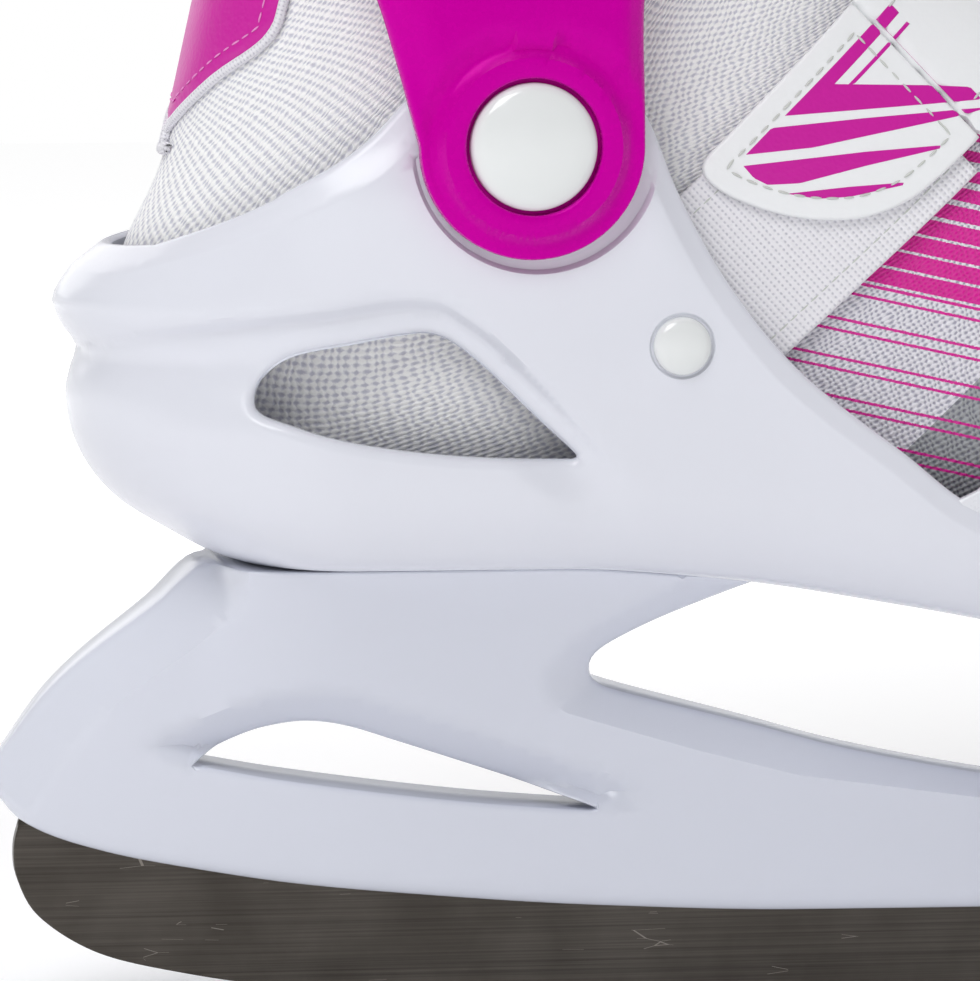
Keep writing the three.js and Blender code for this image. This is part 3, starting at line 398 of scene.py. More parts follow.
# rows of a lofted body: sections run from s to t, front and flat square them off
def sectionRows(sections, places, columns, grow=0.0, centre="back"):
    keys = [smoothFollow([(i, s[k]) for i, s in enumerate(sections)]) for k in range(7)]
    dense = np.concatenate([[0], np.geomspace(1e-5, 1, 90), [1]])
    quarter = np.unique(
        np.clip(np.concatenate([dense * math.pi / 4, math.pi / 2 - dense * math.pi / 4]), 0, math.pi / 2)
    )
    half = np.unique(np.concatenate([quarter, math.pi - quarter]))
    rows = []
    for p in places:
        sx, sz, tx, tz, width, flatPower, frontPower = [float(k(p)) for k in keys]
        if grow is None:
            g = 0.0
        else:
            g = grow(p) if callable(grow) else grow
        reach = math.hypot(tx - sx, tz - sz) / 2
        ux, uz = (tx - sx) / (2 * reach), (tz - sz) / (2 * reach)
        c, s = np.cos(half), np.sin(half)
        power = np.where(c < 0, flatPower, frontPower)
        length = np.sign(c) * np.abs(c) ** power * (reach + g)
        across = np.abs(s) ** power * (width + g)
        line = np.column_stack([(sx + tx) / 2 + ux * length, across, (sz + tz) / 2 + uz * length])
        at = np.concatenate([[0], np.cumsum(np.linalg.norm(np.diff(line, axis=0), axis=1))])
        new = np.linspace(0, at[-1], columns + 1)
        # instep to back, inner side
        line = np.column_stack([np.interp(new, at, line[:, k]) for k in range(3)])
        other = line * [1, -1, 1]
        if centre == "back":  # outer instep, back, inner instep
            rows.append(np.vstack([other, line[::-1][1:]]))
        else:  # outer back, instep, inner back
            rows.append(np.vstack([other[::-1], line[1:]]))
    return np.array(rows)


def hexColour(text, alpha=1.0):
    values = [int(text[i:i + 2], 16) / 255 for i in (1, 3, 5)]
    return tuple(v / 12.92 if v <= 0.04045 else ((v + 0.055) / 1.055) ** 2.4 for v in values) + (alpha,)


def addNode(material, kind, settings=None, links=None):
    node = material.node_tree.nodes.new(kind)
    for key, value in (settings or {}).items():
        if key in node.bl_rna.properties:
            setattr(node, key, value)
        else:
            node.inputs[key].default_value = value
    for key, source in (links or {}).items():
        if isinstance(source, (int, float)):
            node.inputs[key].default_value = source
        else:
            material.node_tree.links.new(getattr(source, "outputs", [source])[0], node.inputs[key])
    return node


def setStops(ramp, *stops):
    for element, (place, colour) in zip(ramp.color_ramp.elements, stops):
        element.position, element.color = place, hexColour(colour)


def newMaterial(name, **settings):
    material = bpy.data.materials.new(name)
    material.use_nodes = True
    shader = material.node_tree.nodes["Principled BSDF"]
    for key, value in settings.items():
        shader.inputs[key.replace("_", " ")].default_value = value
    return material, shader


def join(material, source, target):
    material.node_tree.links.new(source, target)



# moulded polypropylene: smooth, faintly wavy from the mould, with a soft broad gloss
def mouldedPlastic(name, colour, roughness=0.24, grain=0.0, coat=0.12, gloss="#FFFFFF"):
    material, shader = newMaterial(
        name, Base_Color=hexColour(colour), Roughness=roughness, IOR=1.49, Coat_Weight=coat,
        Coat_Roughness=0.12, Specular_Tint=hexColour(gloss)
    )
    place = addNode(material, "ShaderNodeTexCoord")
    sink = addNode(
        material, "ShaderNodeTexNoise", {"Scale": 28.0, "Detail": 1.0}, {"Vector": place.outputs["Object"]}
    )
    fine = addNode(
        material, "ShaderNodeTexNoise", {"Scale": 900.0, "Detail": 2.0}, {"Vector": place.outputs["Object"]}
    )
    specks = addNode(
        material, "ShaderNodeMapRange",
        {"From Min": 0.3, "From Max": 0.7, "To Min": roughness * 0.95, "To Max": roughness * 1.06},
        {"Value": fine.outputs["Fac"]}
    )
    join(material, specks.outputs["Result"], shader.inputs["Roughness"])
    broad = addNode(
        material, "ShaderNodeBump", {"Strength": 0.06, "Distance": 0.0006}, {"Height": sink.outputs["Fac"]}
    )
    last = broad
    if grain:
        leather = addNode(
            material, "ShaderNodeTexVoronoi", {"Scale": 1100.0}, {"Vector": place.outputs["Object"]}
        )
        last = addNode(
            material, "ShaderNodeBump", {"Strength": grain, "Distance": 0.0001},
            {"Height": leather.outputs["Distance"], "Normal": broad.outputs["Normal"]}
        )
    join(material, last.outputs["Normal"], shader.inputs["Normal"])
    return material


# stainless blade steel, ground lengthways: fine streaks, a dark grey face and a few scratches
def groundSteel(name, colour, roughness):
    material, shader = newMaterial(name, Base_Color=hexColour(colour), Metallic=1.0, Roughness=roughness)
    place = addNode(material, "ShaderNodeTexCoord")
    stretch = addNode(
        material, "ShaderNodeMapping", {"Scale": (14.0, 900.0, 2600.0)}, {"Vector": place.outputs["Object"]}
    )
    streaks = addNode(
        material, "ShaderNodeTexNoise", {"Scale": 1.0, "Detail": 5.0, "Roughness": 0.65},
        {"Vector": stretch.outputs["Vector"]}
    )
    cloud = addNode(
        material, "ShaderNodeTexNoise", {"Scale": 60.0, "Detail": 4.0}, {"Vector": place.outputs["Object"]}
    )
    tint = addNode(material, "ShaderNodeValToRGB", None, {"Fac": streaks.outputs["Fac"]})
    setStops(tint, (0.3, "#47433F"), (0.75, "#67625C"))
    worn = addNode(material, "ShaderNodeMix", {"data_type": "RGBA", "blend_type": "MULTIPLY"})
    worn.inputs[0].default_value = 0.35
    join(material, tint.outputs["Color"], worn.inputs[6])
    shade = addNode(material, "ShaderNodeValToRGB", None, {"Fac": cloud.outputs["Fac"]})
    setStops(shade, (0.35, "#8F8A84"), (0.65, "#FFFFFF"))
    join(material, shade.outputs["Color"], worn.inputs[7])
    nicks = addNode(
        material, "ShaderNodeMapping", {"Scale": (60.0, 60.0, 420.0), "Rotation": (0.0, 0.5, 0.0)},
        {"Vector": place.outputs["Object"]}
    )
    cells = addNode(
        material, "ShaderNodeTexVoronoi", {"feature": "DISTANCE_TO_EDGE", "Scale": 1.0},
        {"Vector": nicks.outputs["Vector"]}
    )
    sparse = addNode(
        material, "ShaderNodeTexNoise", {"Scale": 140.0, "Detail": 1.0}, {"Vector": place.outputs["Object"]}
    )
    thin = addNode(
        material, "ShaderNodeMath", {"operation": "LESS_THAN"}, {0: cells.outputs["Distance"], 1: 0.007}
    )
    some = addNode(
        material, "ShaderNodeMath", {"operation": "GREATER_THAN"}, {0: sparse.outputs["Fac"], 1: 0.67}
    )
    scratch = addNode(material, "ShaderNodeMath", {"operation": "MULTIPLY"}, {0: thin, 1: some})
    bright = addNode(material, "ShaderNodeMix", {"data_type": "RGBA"}, {0: scratch})
    join(material, worn.outputs[2], bright.inputs[6])
    bright.inputs[7].default_value = hexColour("#8B857E")
    join(material, bright.outputs[2], shader.inputs["Base Color"])
    rough = addNode(
        material, "ShaderNodeMapRange",
        {"From Min": 0.3, "From Max": 0.7, "To Min": roughness * 0.8, "To Max": roughness * 1.3},
        {"Value": streaks.outputs["Fac"]}
    )
    join(material, rough.outputs["Result"], shader.inputs["Roughness"])
    bump = addNode(
        material, "ShaderNodeBump", {"Strength": 0.25, "Distance": 0.00004},
        {"Height": streaks.outputs["Fac"]}
    )
    join(material, bump.outputs["Normal"], shader.inputs["Normal"])
    return material


# spacer knit: staggered round knots with gaps between them, which the colour darkens as painted shade, on the
# piece's own fabric map in mm
def knitHeight(material, across, along):
    cloth = addNode(material, "ShaderNodeUVMap", {"uv_map": "fabric"})
    parts = addNode(material, "ShaderNodeSeparateXYZ", None, {"Vector": cloth.outputs["UV"]})
    wobble = addNode(
        material, "ShaderNodeTexNoise", {"Scale": 0.35, "Detail": 2.0}, {"Vector": cloth.outputs["UV"]}
    )
    shift = addNode(material, "ShaderNodeMath", {"operation": "MULTIPLY"}, {0: wobble.outputs["Fac"], 1: 1.6})
    waves = []
    for axis, size in (("X", across), ("Y", along)):
        moved = addNode(material, "ShaderNodeMath", {"operation": "ADD"}, {0: parts.outputs[axis], 1: shift})
        turn = addNode(
            material, "ShaderNodeMath", {"operation": "MULTIPLY"}, {0: moved, 1: 2 * math.pi / size}
        )
        waves.append(addNode(material, "ShaderNodeMath", {"operation": "COSINE"}, {0: turn}))
    lattice = addNode(material, "ShaderNodeMath", {"operation": "MULTIPLY"}, {0: waves[0], 1: waves[1]})
    threads = addNode(
        material, "ShaderNodeTexNoise", {"Scale": 3.2, "Detail": 3.0, "Roughness": 0.7},
        {"Vector": cloth.outputs["UV"]}
    )
    fuzz = addNode(material, "ShaderNodeMath", {"operation": "SUBTRACT"}, {0: threads.outputs["Fac"], 1: 0.5})
    height = addNode(material, "ShaderNodeMath", {"operation": "MULTIPLY_ADD"}, {0: fuzz, 1: 1.3, 2: lattice})
    return height, fuzz


# the knit's colour by its height: painted shade in the gaps, the yarn's own light colour on the knots
def knitShade(material, height, low, high, lowAt, highAt):
    share = addNode(
        material, "ShaderNodeMath", {"operation": "MULTIPLY_ADD", "use_clamp": True},
        {0: height, 1: 0.5, 2: 0.5}
    )
    ramp = addNode(material, "ShaderNodeValToRGB", None, {"Fac": share})
    setStops(ramp, (lowAt, low), (highAt, high))
    return ramp.outputs["Color"]


def knitCloth(name, high, low, across=1.9, along=1.3, strength=0.75):
    material, shader = newMaterial(name, Roughness=0.7, IOR=1.5, Sheen_Weight=0.25, Sheen_Roughness=0.5)
    height = knitHeight(material, across, along)[0]
    # the low colour is painted shade in the gaps between the knots
    join(material, knitShade(material, height, low, high, 0.12, 0.62), shader.inputs["Base Color"])
    bump = addNode(
        material, "ShaderNodeBump", {"Strength": strength, "Distance": 0.00035}, {"Height": height}
    )
    join(material, bump.outputs["Normal"], shader.inputs["Normal"])
    return material


# ribbed knit printed with magenta bands that come closer and thicker up the instep, sizes in mm
def printedKnit(name):
    p = {
        "tilt": 12.5, "firstBold": 113.5, "pairSpacing": 6.1, "pairGap": 1.8, "thin": 0.45,
        "boldSpacing": 3.0,
        "narrowGap": 0.42, "wideGap": 2.3, "gapGrowsFrom": 124.0, "gapGrowsTo": 150.0, "panelSlope": -97.0,
        "panelTop": 107.0,
    }
    material, shader = newMaterial(name, Roughness=0.62, IOR=1.5, Sheen_Weight=0.04, Specular_IOR_Level=0.25)
    height, fuzz = knitHeight(material, 1.35, 1.1)
    place = addNode(material, "ShaderNodeTexCoord")
    at = addNode(material, "ShaderNodeSeparateXYZ", None, {"Vector": place.outputs["Object"]})
    tilt = math.radians(p["tilt"])

    rise = addNode(
        material, "ShaderNodeMath", {"operation": "MULTIPLY"}, {0: at.outputs["Z"], 1: math.cos(tilt) / mm}
    )
    lean = addNode(
        material, "ShaderNodeMath", {"operation": "MULTIPLY_ADD"},
        {0: at.outputs["X"], 1: math.sin(tilt) / mm, 2: rise}
    )
    level = addNode(material, "ShaderNodeMath", {"operation": "MULTIPLY_ADD"}, {0: fuzz, 1: 0.5, 2: lean})
    # thin lines in pairs
    saw = addNode(material, "ShaderNodeMath", {"operation": "WRAP"}, {0: level, 1: p["pairSpacing"], 2: 0.0})
    centred = addNode(
        material, "ShaderNodeMath", {"operation": "SUBTRACT"}, {0: saw, 1: p["pairSpacing"] / 2}
    )
    fromMiddle = addNode(material, "ShaderNodeMath", {"operation": "ABSOLUTE"}, {0: centred})
    lines = addNode(
        material, "ShaderNodeMath", {"operation": "COMPARE"},
        {0: fromMiddle, 1: p["pairGap"] / 2, 2: p["thin"] / 2}
    )
    # bold bands above, with gaps that widen up the instep
    gap = addNode(
        material, "ShaderNodeMapRange",
        {
            "From Min": p["gapGrowsFrom"], "From Max": p["gapGrowsTo"], "To Min": p["narrowGap"],
            "To Max": p["wideGap"]
        },
        {"Value": level},
    )
    bands = addNode(
        material, "ShaderNodeMath", {"operation": "WRAP"}, {0: level, 1: p["boldSpacing"], 2: 0.0}
    )
    bold = addNode(material, "ShaderNodeMath", {"operation": "GREATER_THAN"}, {0: bands, 1: gap})
    above = addNode(material, "ShaderNodeMath", {"operation": "GREATER_THAN"}, {0: level, 1: p["firstBold"]})
    boldAbove = addNode(material, "ShaderNodeMath", {"operation": "MULTIPLY"}, {0: bold, 1: above})
    below = addNode(material, "ShaderNodeMath", {"operation": "SUBTRACT"}, {0: 1.0, 1: above})
    ink = addNode(
        material, "ShaderNodeMath", {"operation": "MULTIPLY_ADD", "use_clamp": True},
        {0: lines, 1: below, 2: boldAbove}
    )
    # worn ink on the knots
    worn = addNode(material, "ShaderNodeMath", {"operation": "MULTIPLY_ADD"}, {0: height, 1: 0.05, 2: 0.95})
    ink = addNode(material, "ShaderNodeMath", {"operation": "MULTIPLY", "use_clamp": True}, {0: ink, 1: worn})
    dyed = addNode(material, "ShaderNodeMix", {"data_type": "RGBA"}, {0: ink})
    # the knit under the ink: painted shade in its gaps, its own light colour on the knots
    join(material, knitShade(material, height, "#A7A5B6", "#EFEDF4", 0.1, 0.6), dyed.inputs[6])
    dyed.inputs[7].default_value = hexColour("#DF0098")
    # a grey panel low on the side
    drop = addNode(
        material, "ShaderNodeMath", {"operation": "SUBTRACT"}, {0: at.outputs["X"], 1: at.outputs["Z"]}
    )
    ahead = addNode(
        material, "ShaderNodeMath", {"operation": "GREATER_THAN"}, {0: drop, 1: p["panelSlope"] * mm}
    )
    under = addNode(material, "ShaderNodeMath", {"operation": "LESS_THAN"}, {0: level, 1: p["panelTop"]})
    panel = addNode(material, "ShaderNodeMath", {"operation": "MULTIPLY"}, {0: ahead, 1: under})
    unprinted = addNode(material, "ShaderNodeMath", {"operation": "SUBTRACT"}, {0: 1.0, 1: lines})
    panel = addNode(material, "ShaderNodeMath", {"operation": "MULTIPLY"}, {0: panel, 1: unprinted})
    grey = addNode(material, "ShaderNodeMix", {"data_type": "RGBA", "blend_type": "MULTIPLY"}, {0: panel})
    join(material, dyed.outputs[2], grey.inputs[6])
    grey.inputs[7].default_value = hexColour("#B9BDBB")
    join(material, grey.outputs[2], shader.inputs["Base Color"])
    bump = addNode(material, "ShaderNodeBump", {"Strength": 0.6, "Distance": 0.00025}, {"Height": height})
    join(material, bump.outputs["Normal"], shader.inputs["Normal"])
    return material


# coated split leather: fine pebble grain about 0.7 mm across under a thin film
def coatedLeather(name, colour, grain=0.35, roughness=0.42):
    material, shader = newMaterial(
        name, Base_Color=hexColour(colour), Roughness=roughness, IOR=1.48, Coat_Weight=0.1,
        Coat_Roughness=0.3
    )
    place = addNode(material, "ShaderNodeTexCoord")
    pebbles = addNode(
        material, "ShaderNodeTexVoronoi", {"feature": "SMOOTH_F1", "Scale": 1400.0},
        {"Vector": place.outputs["Object"]}
    )
    folds = addNode(
        material, "ShaderNodeTexNoise", {"Scale": 300.0, "Detail": 3.0}, {"Vector": place.outputs["Object"]}
    )
    height = addNode(
        material, "ShaderNodeMath", {"operation": "ADD"},
        {0: pebbles.outputs["Distance"], 1: folds.outputs["Fac"]}
    )
    bump = addNode(material, "ShaderNodeBump", {"Strength": grain, "Distance": 0.00012}, {"Height": height})
    join(material, bump.outputs["Normal"], shader.inputs["Normal"])
    return material


# flat woven tape: cross ribs a millimetre apart with a fine thread along them
def wovenTape(name, high, low, rib=1.0):
    material, shader = newMaterial(name, Roughness=0.6, IOR=1.5, Sheen_Weight=0.2)
    cloth = addNode(material, "ShaderNodeUVMap", {"uv_map": "fabric"})
    parts = addNode(material, "ShaderNodeSeparateXYZ", None, {"Vector": cloth.outputs["UV"]})
    ribTurn = addNode(
        material, "ShaderNodeMath", {"operation": "MULTIPLY"}, {0: parts.outputs["Y"], 1: 2 * math.pi / rib}
    )
    ribs = addNode(material, "ShaderNodeMath", {"operation": "COSINE"}, {0: ribTurn})
    warpTurn = addNode(
        material, "ShaderNodeMath", {"operation": "MULTIPLY"}, {0: parts.outputs["X"], 1: 2 * math.pi / 0.8}
    )
    warp = addNode(material, "ShaderNodeMath", {"operation": "COSINE"}, {0: warpTurn})
    fuzz = addNode(
        material, "ShaderNodeTexNoise", {"Scale": 2.2, "Detail": 3.0}, {"Vector": cloth.outputs["UV"]}
    )
    crossing = addNode(material, "ShaderNodeMath", {"operation": "MULTIPLY"}, {0: ribs, 1: warp})
    ribbed = addNode(
        material, "ShaderNodeMath", {"operation": "MULTIPLY_ADD"}, {0: ribs, 1: 0.6, 2: fuzz.outputs["Fac"]}
    )
    height = addNode(
        material, "ShaderNodeMath", {"operation": "MULTIPLY_ADD"}, {0: crossing, 1: 0.45, 2: ribbed}
    )
    # colour by rib height: painted shade in the troughs between the ribs
    share = addNode(
        material, "ShaderNodeMath", {"operation": "MULTIPLY_ADD", "use_clamp": True},
        {0: height, 1: 0.4, 2: 0.4}
    )
    ramp = addNode(material, "ShaderNodeValToRGB", None, {"Fac": share})
    setStops(ramp, (0.1, low), (0.55, high))
    join(material, ramp.outputs["Color"], shader.inputs["Base Color"])
    bump = addNode(material, "ShaderNodeBump", {"Strength": 0.5, "Distance": 0.00018}, {"Height": height})
    join(material, bump.outputs["Normal"], shader.inputs["Normal"])
    return material


# cast or rolled zinc plate: pale metal with a slight cloud
def zincPlate(name):
    material, shader = newMaterial(name, Base_Color=hexColour("#B4B6B8"), Metallic=1.0, Roughness=0.35)
    place = addNode(material, "ShaderNodeTexCoord")
    cloud = addNode(
        material, "ShaderNodeTexNoise", {"Scale": 420.0, "Detail": 4.0}, {"Vector": place.outputs["Object"]}
    )
    rough = addNode(
        material, "ShaderNodeMapRange", {"To Min": 0.25, "To Max": 0.5}, {"Value": cloud.outputs["Fac"]}
    )
    join(material, rough.outputs["Result"], shader.inputs["Roughness"])
    return material


# closed cell foam: matt with tiny pits
def cellFoam(name, colour):
    material, shader = newMaterial(name, Base_Color=hexColour(colour), Roughness=0.9, IOR=1.45)
    place = addNode(material, "ShaderNodeTexCoord")
    pits = addNode(material, "ShaderNodeTexVoronoi", {"Scale": 1300.0}, {"Vector": place.outputs["Object"]})
    bump = addNode(
        material, "ShaderNodeBump", {"Strength": 0.4, "Distance": 0.0002},
        {"Height": pits.outputs["Distance"]}
    )
    join(material, bump.outputs["Normal"], shader.inputs["Normal"])
    return material


finish = {
    "shell": mouldedPlastic("moulded_polypropylene_white", "#DFE1EA", 0.24),
    "holder": mouldedPlastic("moulded_polyamide_white", "#DBDEE9", 0.2),
    "cap": mouldedPlastic("moulded_acetal_white", "#E4E7E7", 0.12, coat=0.4),
    "magenta": mouldedPlastic(
        "moulded_polypropylene_magenta", "#C4009C", 0.27, grain=0.1, coat=0.02, gloss="#FF30C8"
    ),
    "toe": mouldedPlastic("moulded_polypropylene_grey_white", "#E3E5EB", 0.28),
    "steel": groundSteel("ground_blade_steel", "#5A544D", 0.36),
    # the second colour of each knit and tape is painted shade in its gaps and troughs
    "knit": knitCloth("spacer_knit_white", "#FFFFFF", "#CBCBD8", 2.0, 1.36, 0.45),
    "print": printedKnit("printed_spacer_knit"),
    "lining": knitCloth("brushed_tricot_grey", "#D3D5DB", "#A9ACB6", 0.9, 0.7, 0.3),
    "tape": wovenTape("woven_polyester_tape", "#ECEBF0", "#B9B7C4"),
    "zinc": zincPlate("zinc_plated_steel"),
    "foam": cellFoam("eva_foam_grey", "#3F4247"),
    "thread": newMaterial("polyester_thread_grey", Base_Color=hexColour("#C9CCC8"), Roughness=0.7)[0],
    "pinkThread": newMaterial("polyester_thread_pink", Base_Color=hexColour("#E48BCB"), Roughness=0.7)[0],
    # its second colour is painted shade between the ribs
    "binding": wovenTape("woven_edge_binding", "#E9E8EE", "#BDBBC9", 0.7),
}
finish["leather"] = coatedLeather("coated_leather_white", "#EDEFF1")
finish["pinkLeather"] = coatedLeather("coated_leather_magenta", "#C8069B", 0.5)
print("materials made")

# camera and lights
view = {"place": (-0.22564, -1.13357, 0.19388), "target": (-0.066325, 0.0, 0.083659), "lens": 259.5}
camera = bpy.data.objects.new("camera", bpy.data.cameras.new("camera"))
camera.location = view["place"]
camera.rotation_euler = (Vector(view["target"]) - Vector(view["place"])).to_track_quat("-Z", "Y").to_euler()
camera.data.lens = view["lens"]
camera.data.sensor_width = 36
camera.data.clip_start = 0.01
bpy.context.scene.collection.objects.link(camera)
bpy.context.scene.camera = camera


def softLight(name, place, target, size, power, colour="#FFFFFF"):
    lamp = bpy.data.lights.new(name, "AREA")
    lamp.shape = "RECTANGLE"
    lamp.size, lamp.size_y = size
    lamp.energy = power
    lamp.color = hexColour(colour)[:3]
    holderObject = bpy.data.objects.new(name, lamp)
    holderObject.location = place
    holderObject.rotation_euler = (Vector(target) - Vector(place)).to_track_quat("-Z", "Y").to_euler()
    bpy.context.scene.collection.objects.link(holderObject)


studio = {
    "key": 8.6, "fill": 0.6, "top": 6.2, "rim": 2.4, "horizon": 1.0, "sky": 0.22, "floorNear": 0.16,
    "floorFar": 0.75
}
softLight("key_light", (-0.6, -0.85, 1.1), (-0.06, 0, 0.1), (0.7, 0.7), studio["key"])
softLight("fill_light", (0.9, -0.9, 0.5), (-0.06, 0, 0.1), (0.9, 0.9), studio["fill"])
softLight("top_light", (-0.1, 0.1, 1.2), (-0.06, 0, 0.1), (1.1, 0.9), studio["top"])
softLight("back_light", (-0.5, 1.1, 0.6), (-0.06, 0, 0.15), (0.8, 0.8), studio["rim"])
world = bpy.data.worlds.new("studio")
bpy.context.scene.world = world
world.use_nodes = True
sky = addNode(world, "ShaderNodeTexCoord")
skyParts = addNode(world, "ShaderNodeSeparateXYZ", None, {"Vector": sky.outputs["Generated"]})
skyGlow = addNode(
    world, "ShaderNodeMapRange",
    {"From Min": 0.0, "From Max": 0.16, "To Min": studio["horizon"], "To Max": studio["sky"]},
    {"Value": skyParts.outputs["Z"]}
)
world.node_tree.nodes["Background"].inputs["Color"].default_value = hexColour("#FFFFFF")
join(world, skyGlow.outputs["Result"], world.node_tree.nodes["Background"].inputs["Strength"])
bpy.context.scene.view_settings.view_transform = "Standard"

floorVerts = [(-3000, -3000, -0.4), (3000, -3000, -0.4), (3000, 3000, -0.4), (-3000, 3000, -0.4)]
floorMaterial, floorShader = newMaterial(
    "matt_studio_floor", Base_Color=hexColour("#F7F7F8"), Roughness=0.9, Emission_Color=hexColour("#FFFFFF")
)
floorPlace = addNode(floorMaterial, "ShaderNodeTexCoord")
floorReach = addNode(
    floorMaterial, "ShaderNodeVectorMath", {"operation": "LENGTH"}, {0: floorPlace.outputs["Object"]}
)
floorGlow = addNode(
    floorMaterial, "ShaderNodeMapRange",
    {"From Min": 0.25, "From Max": 1.1, "To Min": studio["floorNear"], "To Max": studio["floorFar"]},
    {"Value": floorReach.outputs["Value"]}
)
join(floorMaterial, floorGlow.outputs["Result"], floorShader.inputs["Emission Strength"])
floor = newObject("floor", floorVerts, [(0, 1, 2, 3)], floorMaterial, recalc=False)
print("camera, lights and floor made")

# the skate's long lines
soleAt = smoothFollow(
    [(-118, 73.8), (-59, 73.8), (-34, 72), (-4, 67.4), (30, 61), (50, 58.2), (85, 56.5), (120, 58), (148, 63)]
)
shellHalfAt = smoothFollow([(-90, 40.5), (-66, 41.4), (-30, 42), (5, 45), (45, 47), (88, 47)])
heelBackAt = smoothFollow([
    (73.8, -109), (75, -112.5), (79, -120), (83, -126.5), (87, -130.5), (92, -133.5), (97, -135.2),
    (101, -135.8), (105, -135),
    (107.7, -134.1), (110, -135), (113, -136.6), (115.5, -137.4), (118, -136.3), (122, -133.3), (126, -130),
    (134, -124),
])

# base shell: one moulded wall from the middle of the sole up both sides and round the heel
shellLook = {
    "arc": 67.0, "floor": 28.0, "lipHeel": 5.2, "lipFront": 3.6, "lipDepth": 1.5,
    "creaseDepth": 2.4, "windowEdge": 1.5, "lugRise": 1.5, "rivetSeat": 5.2,
}
cornerLength = skate["cornerRadius"] * math.pi / 2


def shellPlace(flat):
    r = skate["cornerRadius"]
    s, v = flat[:, 0], flat[:, 1]
    along = np.abs(s)
    turn = np.clip(along / shellLook["arc"], 0, 1) * math.pi / 2
    x = skate["heelCentre"] + np.maximum(along - shellLook["arc"], 0)
    phi = np.clip(v / cornerLength, 0, 1) * math.pi / 2
    z = soleAt(x) + r * (1 - np.cos(phi)) + np.maximum(v - cornerLength, 0)
    half = shellHalfAt(x) - r * (1 - np.sin(phi))
    reach = skate["heelCentre"] - heelBackAt(z)
    px = x - reach * np.cos(turn) ** 0.92 * (along < shellLook["arc"])
    py = np.sign(s) * half * np.where(along < shellLook["arc"], np.sin(turn), 1)
    share = np.clip(-v / shellLook["floor"], 0, 1)
    return np.column_stack([px + (x - px) * share, py * (1 - share), z])


def shellFlat(sideView, side):
    out = []
    for x, z in sideView:
        v = cornerLength + z - float(soleAt(x)) - skate["cornerRadius"]
        if z < float(soleAt(x)) + skate["cornerRadius"]:
            v = math.acos(
                np.clip(1 - (z - float(soleAt(x))) / skate["cornerRadius"], -1, 1)
            ) / (math.pi / 2) * cornerLength
        if x >= skate["heelCentre"]:
            s = shellLook["arc"] + x - skate["heelCentre"]
        else:
            reach = skate["heelCentre"] - float(heelBackAt(z))
            share = min(1.0, (skate["heelCentre"] - x) / reach)
            s = shellLook["arc"] * math.acos(share ** (1 / 0.92)) / (math.pi / 2)
        out.append((side * s, v))
    return np.array(out)


rimSide = smoothRun([
    (86, 69.3), (60, 71.5), (30, 75.5), (6.5, 83.4), (-6.5, 92.8), (-22.6, 105.6), (-33.9, 119.5),
    (-41.9, 133.7), (-47, 146),
    (-54, 155), (-66, 159), (-78, 156), (-84.9, 148.9), (-93.2, 140.8), (-109, 132.3), (-123.9, 126.5),
], 1.2)
rimHalf = shellFlat(rimSide, 1)
backTop = cornerLength + 126 - 73.8 - skate["cornerRadius"]
rimHalf = np.vstack([rimHalf, smoothRun([rimHalf[-1], (12, backTop + 0.1), (0, backTop)], 1.2)[1:]])
rimBoth = np.vstack([rimHalf, (rimHalf * [-1, 1])[::-1][1:]])
frontS = rimHalf[0, 0]
shellOutline = np.vstack([
    resample([(-frontS, -shellLook["floor"]), (frontS, -shellLook["floor"])], 2.0, False)[:-1],
    resample([(frontS, -shellLook["floor"]), tuple(rimHalf[0])], 1.5, False)[:-1],
    rimBoth[:-1],
    resample([(-frontS, rimHalf[0, 1]), (-frontS, -shellLook["floor"])], 1.5, False)[:-1],
])
sideWindow = smoothRun([
    (-109.4, 101.2), (-108.8, 104.6), (-106, 107.3), (-101, 109.2), (-93, 110.6), (-85.9, 111.9),
    (-81.5, 112.2), (-77.5, 110.6),
    (-71.7, 105.9), (-64.5, 98.9), (-58.4, 93.2), (-58.2, 92.5), (-60, 92.3), (-73.3, 92.7), (-86, 93.9),
    (-97, 95.9), (-104, 98.0), (-108, 99.4),
], 0.9, True)
buttonHole = [
    (64 + 4.9 * math.cos(a), float(soleAt(64)) + 8 + 4.9 * math.sin(a))
    for a in np.linspace(0, 2 * math.pi, 40)[:-1]
]
creaseAt = smoothFollow(
    [
        (-134, 110.6), (-124, 112.9), (-113.8, 114.4), (-97, 116.4), (-85, 118), (-81, 117.8), (-75, 114.6),
        (-67.2, 107.7), (-57, 97), (-48, 86)
    ]
)
lugCentre = (skate["pivotX"] + 1.1, skate["pivotZ"] - 0.4)


